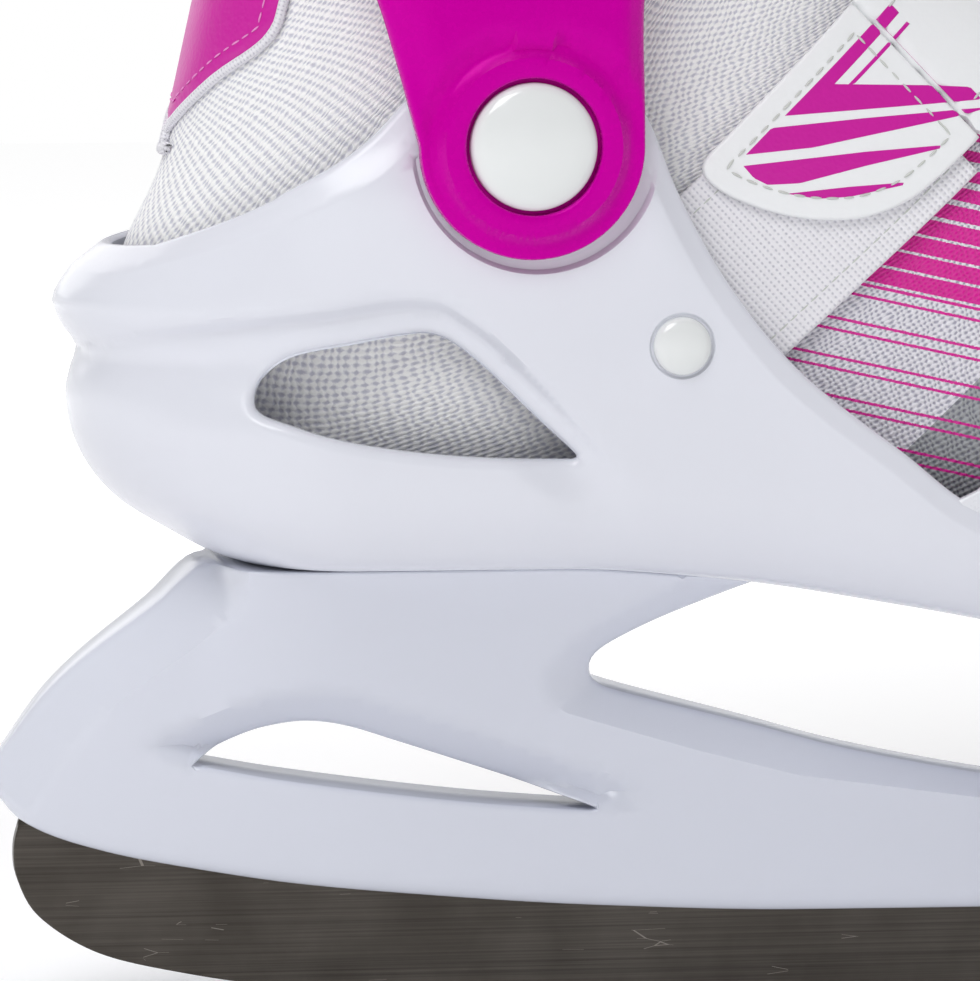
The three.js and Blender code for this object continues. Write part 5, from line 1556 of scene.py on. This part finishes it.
# the fixed part of the strap: a ribbon over the instep, from the free end's fold to the inner rivet
def strapRibbon():
    grid = strapRows
    wide = grid.shape[1]
    tGrid = (grid[..., 0] - rivetAt[0]) * strapUp[0] + (grid[..., 2] - rivetAt[1]) * strapUp[1]
    sGrid = (grid[..., 0] - rivetAt[0]) * strapOver[0] + (grid[..., 2] - rivetAt[1]) * strapOver[1]
    innerGrid = sectionRows(
        bootSections, np.linspace(4.0, 13.5, 160), bootLook["columns"], strapLook["offset"], "back"
    )
    lanes = np.linspace(strapLook["low"] + 0.1, strapLook["high"] - 0.1, 26)
    lanes = np.concatenate(
        [
            [lanes[0], lanes[0] + 0.15, lanes[0] + 0.45], lanes[1:-1],
            [lanes[-1] - 0.45, lanes[-1] - 0.15, lanes[-1]]
        ]
    )
    half = wide // 2
    order = list(range(half, 0, -1)) + [0] + list(range(wide - 2, half, -1))
    top, bottom, uv = [], [], []
    for lane in lanes:
        line, under = [], []
        for c in order:
            s = sGrid[:, c]
            fall = np.argsort(s)
            line.append(
                [np.interp(lane, s[fall], grid[fall, c, k]) for k in range(3)]
                + [np.interp(lane, s[fall], tGrid[fall, c])]
            )
            under.append([np.interp(lane, s[fall], innerGrid[fall, c, k]) for k in range(3)])
        line, under = np.array(line), np.array(under)
        outer = line[:, 1] < 0
        keep = (outer & (line[:, 3] > strapLook["tabStart"])) | (~outer & (line[:, 3] > -8))
        run = np.nonzero(keep)[0]
        line, under = line[run[0]:run[-1] + 1], under[run[0]:run[-1] + 1]
        at = np.concatenate([[0], np.cumsum(np.linalg.norm(np.diff(line[:, :3], axis=0), axis=1))])
        new = np.linspace(0, at[-1], 150)
        shape = np.column_stack([np.interp(new, at, line[:, k]) for k in range(3)])
        inside = np.column_stack([np.interp(new, at, under[:, k]) for k in range(3)])
        d = shape - inside
        d /= np.maximum(np.linalg.norm(d, axis=1, keepdims=True), 1e-6)
        away = np.minimum(min(lane - lanes[0], lanes[-1] - lane), np.minimum(new, at[-1] - new))
        top.append(shape - d * edgeDrop(away, 0.55)[:, None])
        bottom.append(shape - d * strapLook["thick"])
        uv.append(np.column_stack([new, np.full(len(new), lane)]))
    top, bottom, uv = np.array(top), np.array(bottom), np.array(uv)
    high, wide = top.shape[:2]
    count = high * wide
    index = np.arange(count).reshape(high, wide)
    faces = []
    for r in range(high - 1):
        for c in range(wide - 1):
            a, b, d, e = index[r, c], index[r, c + 1], index[r + 1, c + 1], index[r + 1, c]
            faces += [(a, b, d, e), (count + e, count + d, count + b, count + a)]
        for c in (0, wide - 1):
            faces.append((index[r, c], index[r + 1, c], count + index[r + 1, c], count + index[r, c]))
    for r in (0, high - 1):
        for c in range(wide - 1):
            faces.append((index[r, c], index[r, c + 1], count + index[r, c + 1], count + index[r, c]))
    coords = np.vstack([uv.reshape(-1, 2)] * 2)
    lanePoints = top
    return newObject(
        "instep_strap_leather", np.vstack([top.reshape(-1, 3), bottom.reshape(-1, 3)]), faces,
        finish["leather"], smooth=50, uv=coords
    ), lanePoints


strapLook["tabStart"] = 58.3
strap, strapLanes = strapRibbon()
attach(strap, "base")
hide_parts("instep_strap")
print("straps made")

# printed strokes on the strap's free end: tapered slanted bars, as a thin film on the leather
strokeLook = {"stand": 0.06, "thick": 0.1}
strokes = [
    [
        (36.9, 14.6), (62.4, 14.9), (62.4, 12.9), (46.3, 12.6), (57.8, 1.6), (62.4, -3.1), (62.4, -5.7),
        (59.6, -3.5)
    ],
    [
        (28.1, 14.5), (34.0, 14.7), (46.0, 5.6), (58.7, -4.4), (62.4, -7.4), (58.1, -5.1), (44.1, 3.5),
        (36.7, 8.0)
    ],
    [
        (26.6, 13.5), (42.5, 1.7), (52.1, -5.9), (51.9, -6.3), (41.0, 0.1), (31.3, 5.4), (27.4, 8.7),
        (26.5, 11.0)
    ],
    [(28.7, 5.6), (36.7, -0.4), (43.6, -5.9), (43.5, -6.3), (35.7, -1.6), (31.7, 1.7)],
    [(47.7, 11.0), (62.4, 11.1), (62.4, 10.5), (48.6, 10.4)],
]


# the part of a closed stroke between two places along the strap
def cutStroke(points, low, high):
    for limit, sign in ((low, 1), (high, -1)):
        kept = []
        for a, b in zip(points, points[1:] + points[:1]):
            inA, inB = sign * (a[0] - limit) >= 0, sign * (b[0] - limit) >= 0
            if inA:
                kept.append(a)
            if inA != inB:
                share = (limit - a[0]) / (b[0] - a[0])
                kept.append((limit, a[1] + share * (b[1] - a[1])))
        points = kept
    return points


def printStand(flat, points):
    return np.full(len(flat), strokeLook["stand"])


for i, stroke in enumerate(strokes):
    for body, low, high in (("tab", 0, 57.8), ("base", 58.7, 62.3)):
        part = cutStroke(stroke, low, high)
        if len(part) < 3:
            continue
        loop = resample([(t, -s) for t, s in part], 0.7, True)
        strapPrint = wallPiece(
            f"strap_print_{body}_{i + 1}", [loop], strapPlaceAt, strokeLook["thick"], finish["pinkLeather"],
            1.6, (0.05,), printStand, innerRadius=0.02
        )
        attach(strapPrint, body)
print("strap print made")


# a row of thread stitches along a line, made by a node tree: each stitch is a short stretched ball
def stitchTree():
    tree = bpy.data.node_groups.new("stitch_row", "GeometryNodeTree")
    tree.interface.new_socket("Geometry", in_out="INPUT", socket_type="NodeSocketGeometry")
    tree.interface.new_socket("Spacing", in_out="INPUT", socket_type="NodeSocketFloat")
    tree.interface.new_socket("Thread", in_out="INPUT", socket_type="NodeSocketFloat")
    tree.interface.new_socket("Stitch", in_out="INPUT", socket_type="NodeSocketFloat")
    tree.interface.new_socket("Material", in_out="INPUT", socket_type="NodeSocketMaterial")
    tree.interface.new_socket("Geometry", in_out="OUTPUT", socket_type="NodeSocketGeometry")

    def add(kind, settings=None, links=None):
        node = tree.nodes.new(kind)
        for key, value in (settings or {}).items():
            if key in node.bl_rna.properties:
                setattr(node, key, value)
            else:
                node.inputs[key].default_value = value
        for key, source in (links or {}).items():
            tree.links.new(source, node.inputs[key])
        return node

    given = add("NodeGroupInput")
    result = add("NodeGroupOutput")
    curve = add("GeometryNodeMeshToCurve", None, {"Mesh": given.outputs["Geometry"]})
    spots = add(
        "GeometryNodeCurveToPoints", {"mode": "LENGTH"},
        {"Curve": curve.outputs["Curve"], "Length": given.outputs["Spacing"]}
    )
    ball = add("GeometryNodeMeshUVSphere", {"Segments": 8, "Rings": 6, "Radius": 1.0})
    halfThread = add("ShaderNodeMath", {"operation": "MULTIPLY"}, {0: given.outputs["Thread"]})
    halfThread.inputs[1].default_value = 0.5
    halfStitch = add("ShaderNodeMath", {"operation": "MULTIPLY"}, {0: given.outputs["Stitch"]})
    halfStitch.inputs[1].default_value = 0.5
    size = add(
        "ShaderNodeCombineXYZ", None,
        {"X": halfThread.outputs[0], "Y": halfThread.outputs[0], "Z": halfStitch.outputs[0]}
    )
    jitter = add("FunctionNodeRandomValue", {"data_type": "FLOAT", "Seed": 7})
    jitter.inputs[2].default_value, jitter.inputs[3].default_value = 0.9, 1.1
    sized = add(
        "ShaderNodeVectorMath", {"operation": "SCALE"}, {0: size.outputs[0], "Scale": jitter.outputs[1]}
    )
    placed = add(
        "GeometryNodeInstanceOnPoints", None,
        {
            "Points": spots.outputs["Points"], "Instance": ball.outputs["Mesh"],
            "Rotation": spots.outputs["Rotation"], "Scale": sized.outputs[0]
        }
    )
    real = add("GeometryNodeRealizeInstances", None, {"Geometry": placed.outputs["Instances"]})
    dressed = add(
        "GeometryNodeSetMaterial", None,
        {"Geometry": real.outputs["Geometry"], "Material": given.outputs["Material"]}
    )
    tree.links.new(dressed.outputs["Geometry"], result.inputs["Geometry"])
    return tree


stitching = stitchTree()


def stitchRow(name, points, material, spacing=2.6, thread=0.42, stitch=1.9):
    line = bpy.data.meshes.new(name + "_line")
    count = len(points)
    line.from_pydata([tuple(np.array(p) * mm) for p in points], [(i, i + 1) for i in range(count - 1)], [])
    guide = bpy.data.objects.new(name + "_line", line)
    bpy.context.scene.collection.objects.link(guide)
    nodes = guide.modifiers.new("stitches", "NODES")
    nodes.node_group = stitching
    names = {item.name: item.identifier for item in stitching.interface.items_tree if item.in_out == "INPUT"}
    nodes[names["Spacing"]] = spacing * mm
    nodes[names["Thread"]] = thread * mm
    nodes[names["Stitch"]] = stitch * mm
    nodes[names["Material"]] = material
    depsgraph = bpy.context.evaluated_depsgraph_get()
    mesh = bpy.data.meshes.new_from_object(guide.evaluated_get(depsgraph))
    bpy.data.objects.remove(guide)
    mesh.shade_smooth()
    mesh.materials.clear()
    mesh.materials.append(material)
    obj = bpy.data.objects.new(name, mesh)
    bpy.context.scene.collection.objects.link(obj)
    return obj


# the part of a loop that runs a distance inside its edge
def insetLoop(loop, distance, spacing=0.8):
    loop = np.array(loop, float)
    run = np.roll(loop, -1, axis=0) - np.roll(loop, 1, axis=0)
    run /= np.maximum(np.linalg.norm(run, axis=1, keepdims=True), 1e-9)
    normal = np.column_stack([-run[:, 1], run[:, 0]])
    best = None
    for sign in (-1, 1):
        moved = loop + normal * sign * distance
        keep = insideOf(moved, loop) & (distanceTo(moved, loop) > distance * 0.96)
        if best is None or keep.sum() > len(best):
            best = moved[keep]
    return best


def standing(place, flat, height):
    step = 0.05
    du = place(flat + [step, 0]) - place(flat - [step, 0])
    dv = place(flat + [0, step]) - place(flat - [0, step])
    normal = np.cross(dv, du)
    normal /= np.maximum(np.linalg.norm(normal, axis=1, keepdims=True), 1e-12)
    return place(flat) + normal * height


tabSeam = insetLoop(tabLoop, strapLook["stitch"])
tabSeam = tabSeam[tabSeam[:, 0] < 55]
gaps = np.linalg.norm(np.diff(np.vstack([tabSeam, tabSeam[:1]]), axis=0), axis=1)
cutAt = int(np.argmax(gaps)) + 1
tabSeam = np.roll(tabSeam, -cutAt, axis=0)
tabStitches = stitchRow("strap_end_stitches", standing(strapPlaceAt, tabSeam, 0.08), finish["thread"])
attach(tabStitches, "tab")

for edge, lane in (("front", strapLanes[-7]), ("rear", strapLanes[6])):
    strapStitches = stitchRow(f"strap_stitches_{edge}", lane[4:-4], finish["thread"])
    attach(strapStitches, "base")
for name, s in (("front", 9.8), ("rear", -13.2)):
    line = np.column_stack([np.linspace(-6, 50, 60), np.full(60, s)])
    tapeStitches = stitchRow(
        f"tape_stitches_{name}", standing(tapePlaceAt, line, -0.05), finish["thread"], 2.2, 0.3, 1.8
    )
    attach(tapeStitches, "base")
print("strap stitches made")

# heel patch: coated magenta leather with a woven binding and a stitched seam
patchLook = {"offset": 1.5, "thick": 1.2, "binding": 1.5, "stitch": 4.2}
patchRows, patchColumn, patchRow, patchSurface = bootSurface(13.3, 18.9, patchLook["offset"], 140)
patchMiddle = bootLook["columns"] * patchColumn
patchSide = smoothRun([
    (-121.2, 139.6), (-119.6, 142.4), (-117.2, 146.6), (-112.6, 151.8), (-106.5, 156.6), (-104.0, 159.8),
    (-102.9, 163.5), (-100.6, 173), (-98, 184), (-95, 197),
    (-92.4, 210), (-90.4, 224), (-90.2, 234), (-92.5, 240),
], 1.2)
patchHalf = findOnGrid(patchRows, patchColumn, patchRow, patchSurface, patchSide, -1)
patchLow = smoothRun(
    [(patchMiddle, patchHalf[0][1] - 1.2), (patchMiddle - 5, patchHalf[0][1] - 0.9), tuple(patchHalf[0])],
    1.1
)
patchHigh = smoothRun(
    [tuple(patchHalf[-1]), (patchMiddle - 12, patchHalf[-1][1] + 3.4), (patchMiddle, patchHalf[-1][1] + 3.8)],
    1.1
)
patchLine = np.vstack([patchLow[:-1], patchHalf, patchHigh[1:]])
patchLoop = np.vstack([patchLine, (patchLine * [-1, 1] + [2 * patchMiddle, 0])[::-1][1:-1]])


def patchStand(flat, points):
    away = distanceTo(flat, patchLoop)
    return -0.35 * (
        1 - easeBetween(away, patchLook["binding"] - 0.2, patchLook["binding"] + 0.5)
    ) - 0.15 * np.exp(-((away - patchLook["stitch"]) / 0.5) ** 2)


patch = wallPiece(
    "heel_patch_leather", [patchLoop], patchSurface, patchLook["thick"], finish["pinkLeather"], 1.6, (0.5,),
    patchStand
)
followShaft(patch)
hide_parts("heel_patch")
patchSeam = insetLoop(patchLoop, patchLook["stitch"])
patchSeam = np.vstack([patchSeam, patchSeam[:1]])
patchStitches = stitchRow(
    "heel_patch_stitches", standing(patchSurface, patchSeam, 0.02), finish["pinkThread"], 2.3, 0.34, 1.7
)
followShaft(patchStitches)


# a rolled binding along a closed edge: a flattened tube laid over it
def edgeTube(name, points, radius, material, closed=True, turns=10, flatten=1.0):
    points = np.asarray(points, float)
    n = len(points)
    ahead = np.roll(points, -1, axis=0) - np.roll(points, 1, axis=0)
    if not closed:
        ahead[0], ahead[-1] = points[1] - points[0], points[-1] - points[-2]
    ahead /= np.maximum(np.linalg.norm(ahead, axis=1, keepdims=True), 1e-9)
    verts, uv = [], []
    up = np.array([0.3, 0.1, 1.0])
    at = 0.0
    for i in range(n):
        side = np.cross(ahead[i], up)
        if np.linalg.norm(side) < 0.2:
            side = np.cross(ahead[i], [0, 1, 0.2])
        side /= np.linalg.norm(side)
        up = np.cross(side, ahead[i])
        for k in range(turns):
            a = 2 * math.pi * k / turns
            verts.append(points[i] + radius * (math.cos(a) * side + math.sin(a) * up * flatten))
            uv.append((radius * a, at))
        at += np.linalg.norm(points[(i + 1) % n] - points[i])
    faces = []
    for i in range(n if closed else n - 1):
        for k in range(turns):
            a, b = i * turns + k, i * turns + (k + 1) % turns
            c, d = ((i + 1) % n) * turns + (k + 1) % turns, ((i + 1) % n) * turns + k
            faces.append((a, b, c, d))
    if not closed:
        faces += [tuple(range(turns)), tuple((n - 1) * turns + k for k in range(turns))]
    return newObject(name, verts, faces, material, smooth=0, uv=uv)


binding = edgeTube("heel_patch_binding", standing(patchSurface, patchLoop, -0.45), 0.8, finish["binding"])
followShaft(binding)
print("heel patch made")

# sliding toe shell: two cheeks behind, a floor and a rounded nose in front
toeLook = {"columns": 120, "wall": 2.4}
toeTopAt = smoothFollow(
    [(0, 126), (60, 122), (86, 117), (105, 113), (122, 105), (136, 95), (144, 86), (147.2, 80.5), (148, 76.5)]
)
toeHalfAt = smoothFollow(
    [(86.8, 46.9), (104, 45.5), (120, 40.5), (132, 33), (140, 24.5), (145, 15), (147.2, 7), (148, 0.001)]
)
toeLowAt = smoothFollow([(86.8, 58), (120, 58.3), (136, 61), (144, 66), (147.2, 72), (148, 76.5)])
toeSharpAt = smoothFollow([(100, 0.42), (148, 0.82)])


def toeRow(x):
    if x < 86.4:
        half, low = float(shellHalfAt(x)) - 3.4, float(soleAt(x)) + 3.4
    else:
        share = float(easeBetween(x, 86.4, 87.6))
        half = (float(shellHalfAt(86)) - 3.4) * (1 - share) + float(toeHalfAt(x)) * share
        low = (float(soleAt(86)) + 3.4) * (1 - share) + float(toeLowAt(x)) * share
    high, power = float(toeTopAt(x)), float(toeSharpAt(x))
    dense = np.concatenate([np.geomspace(1e-6, 1, 120), 2 - np.geomspace(1e-6, 1, 120)[::-1]]) * math.pi / 4
    quarter = np.unique(np.concatenate([[0], dense, [math.pi / 2]]))
    a = np.unique(np.concatenate([quarter, math.pi - quarter])) - math.pi / 2  # bottom to top on one side
    y = half * np.abs(np.cos(a)) ** power
    z = (low + high) / 2 + (high - low) / 2 * np.sign(np.sin(a)) * np.abs(np.sin(a)) ** power
    at = np.concatenate([[0], np.cumsum(np.hypot(np.diff(y), np.diff(z)))])
    new = np.linspace(0, at[-1], toeLook["columns"] + 1)
    y, z = np.interp(new, at, y), np.interp(new, at, z)
    side = np.column_stack([np.full(len(y), x), y, z])
    return np.vstack([(side * [1, -1, 1])[::-1], side[1:]])


toeStations = np.unique(
    np.concatenate(
        [
            np.linspace(2, 86.2, 60), np.linspace(86.2, 88, 12), np.linspace(88, 140, 50),
            np.linspace(140, 148, 34)
        ]
    )
)
toeRows = np.array([toeRow(x) for x in toeStations])
toeColumn = 1.05


def toePlace(flat):
    index = np.interp(flat[:, 1], toeStations, np.arange(len(toeStations)))
    return gridSurface(toeRows, toeColumn, 1.0)(np.column_stack([flat[:, 0], index]))


toeSpan = 2 * toeLook["columns"] * toeColumn
toeMiddle = toeSpan / 2


# columns where the side view height is reached, on the inner side
def toeFlat(points):
    out = []
    for x, z in points:
        row = toeRows[int(round(np.interp(x, toeStations, np.arange(len(toeStations)))))][toeLook["columns"]:]
        out.append((toeMiddle + np.interp(z, row[:, 2], np.arange(len(row))) * toeColumn, x))
    return np.array(out)


openingEdge = toeFlat(
    smoothRun(
        [
            (2, 85.3), (5, 86.6), (12, 91.6), (30, 98), (50, 102.4), (66, 105.8), (76, 108.8),
            (81.5, 112.2), (84, 115.0)
        ],
        1.3
    )
)
openingTop = smoothRun(
    [tuple(openingEdge[-1]), (toeSpan - 16, 85.4), (toeSpan - 7, 86.6), (toeSpan, 87.2)], 1.3
)
cheekEdge = toeFlat(
    smoothRun(
        [
            (38, float(soleAt(38)) + 5.5), (38, float(soleAt(38)) + 9), (34, float(soleAt(34)) + 14),
            (28, float(soleAt(28)) + 16.6), (16, float(soleAt(16)) + 17), (2, float(soleAt(2)) + 17)
        ],
        1.3
    )
)
floorRun = smoothRun([(toeMiddle, 38), tuple(cheekEdge[0])], 1.4)
backRun = resample([tuple(cheekEdge[-1]), tuple(openingEdge[0])], 1.3, False)
noseRun = resample([(toeSpan, openingTop[-1][1]), (toeSpan, 148)], 1.3, False)
noseEnd = resample([(toeSpan, 148), (toeMiddle, 148)], 1.6, False)
toeSide = np.vstack(
    [floorRun[:-1], cheekEdge[:-1], backRun[:-1], openingEdge[:-1], openingTop[:-1], noseRun[:-1], noseEnd]
)
toeLoop = np.vstack([toeSide, (toeSide * [-1, 1] + [2 * toeMiddle, 0])[::-1][1:-1]])


def toeOpenEdge(flat):
    atTop = (np.abs(flat[:, 0] - toeMiddle) > toeMiddle - 0.2) & (flat[:, 1] > 87.3)
    atNose = flat[:, 1] > 147.98
    return np.where(atTop | atNose, 0.0, 1.0)


def toeRelief(flat, points):
    x, z = points[:, 0], points[:, 2]
    out = np.zeros(len(flat))
    # two soft ribs across the toe cap
    for at in (103, 111):
        out += 0.5 * np.exp(-((x - at) / 1.3) ** 2) * easeBetween(z, 84, 92)
    return out


# the four holes the size button drops into, on the outer side
sizeHoles = [
    toeFlat(circleRun((x, float(soleAt(64)) + 8), 2.8, spacing=0.7)) * [-1, 1] + [2 * toeMiddle, 0]
    for x in (64, 57.3, 50.7, 44)
]
toeShell = wallPiece(
    "toe_shell_moulding", [toeLoop] + sizeHoles, toePlace, toeLook["wall"], finish["toe"], 2.0, (0.8, 0.3),
    toeRelief, toeOpenEdge
)
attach(toeShell, "toe")
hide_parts("toe_shell")
print("toe shell made")


# pull tab: a loop of tape sewn to the back of the collar
pullLook = {"half": 9.0, "tape": 0.6}
pullPath = smoothRun([
    (-98.4, 262), (-99.6, 270), (-101.2, 278), (-102.2, 288), (-102.3, 298), (-101.6, 302.2),
    (-100.6, 302.2), (-99.9, 298), (-99.6, 288),
    (-98.4, 278), (-96.8, 270), (-95.6, 262),
], 0.8)
pullSides = np.vstack([offsetRun(pullPath, -pullLook["tape"]), offsetRun(pullPath, pullLook["tape"])[::-1]])
across = np.linspace(-pullLook["half"], pullLook["half"], 13)
pullCount = len(pullSides)
pullVerts = [(x, y, z) for y in across for x, z in pullSides]
pullUv = [(y, 0.6 * i) for y in across for i in range(pullCount)]
pullFaces = []
for k in range(len(across) - 1):
    for i in range(pullCount):
        j = (i + 1) % pullCount
        pullFaces.append(
            (k * pullCount + i, k * pullCount + j, (k + 1) * pullCount + j, (k + 1) * pullCount + i)
        )
for k in (0, len(across) - 1):
    for i in range(len(pullPath) - 1):
        pullFaces.append(
            (
                k * pullCount + i, k * pullCount + i + 1, k * pullCount + pullCount - 2 - i,
                k * pullCount + pullCount - 1 - i
            )
        )
pullTab = newObject("pull_tab_loop", pullVerts, pullFaces, finish["tape"], smooth=50, uv=pullUv)
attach(pullTab, "cuff")
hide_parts("pull_tab")
print("pull tab made")


softLook = {"merge": 0.01, "flatWithin": 1.5, "edgeSteps": 3, "edgeAngle": 32, "smoothAngle": 38}


# a CAD node's shape with its edges broken, as a moulded or pressed piece has them
def softened(node, body, material, width):
    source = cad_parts[node]
    mesh = source.data.copy()
    mesh.name = node + "_soft"
    mesh.transform(source.matrix_world)
    bm = bmesh.new()
    bm.from_mesh(mesh)
    bmesh.ops.remove_doubles(bm, verts=bm.verts, dist=softLook["merge"] * mm)
    bmesh.ops.dissolve_limit(
        bm, angle_limit=math.radians(softLook["flatWithin"]), verts=bm.verts, edges=bm.edges
    )
    bmesh.ops.recalc_face_normals(bm, faces=bm.faces)
    bm.to_mesh(mesh)
    bm.free()
    mesh.materials.clear()
    mesh.materials.append(material)
    obj = bpy.data.objects.new(node + "_finished", mesh)
    bpy.context.scene.collection.objects.link(obj)
    bevel = obj.modifiers.new("edges", "BEVEL")
    bevel.width = width * mm
    bevel.segments = softLook["edgeSteps"]
    bevel.limit_method = "ANGLE"
    bevel.angle_limit = math.radians(softLook["edgeAngle"])
    bevel.use_clamp_overlap = True
    done = bpy.data.meshes.new_from_object(obj.evaluated_get(bpy.context.evaluated_depsgraph_get()))
    obj.modifiers.remove(bevel)
    obj.data = done
    done.shade_smooth()
    done.set_sharp_from_angle(angle=math.radians(softLook["smoothAngle"]))
    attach(obj, body)
    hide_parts(node)


softParts = [
    ("buckle_base", "cuff", "magenta", "magenta_plastic", 0.4),
    ("buckle_lever", "lever", "magenta", "magenta_plastic", 0.5),
    ("buckle_pawl", "pawl", "cap", "cap_white", 0.35),
    ("ladder_strap", "cuff", "magenta", "magenta_plastic", 0.45),
    ("size_button", "button", "magenta", "magenta_plastic", 0.4),
    ("insole", "base", "foam", "foam_grey", 1.0),
    ("lever_pin", "cuff", "zinc", "zinc", 0.3), ("pawl_pin", "cuff", "zinc", "zinc", 0.3),
    ("buckle_rivet_rear", "cuff", "zinc", "zinc", 0.2), ("buckle_rivet_front", "cuff", "zinc", "zinc", 0.2),
    ("ladder_rivet", "cuff", "zinc", "zinc", 0.2),
]
for node, body, look, slot, width in softParts:
    softened(node, body, finish[look], width)
for name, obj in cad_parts.items():
    if obj.hide_render:
        continue
    if name.startswith("lace_loop"):
        softened(name, "base", finish["lining"], 0.25)
        continue
    obj.data.materials.clear()
    obj.data.materials.append(finish["foam" if name.startswith("pivot_washer") else "zinc"])
print("small parts finished")


print("scene finished")
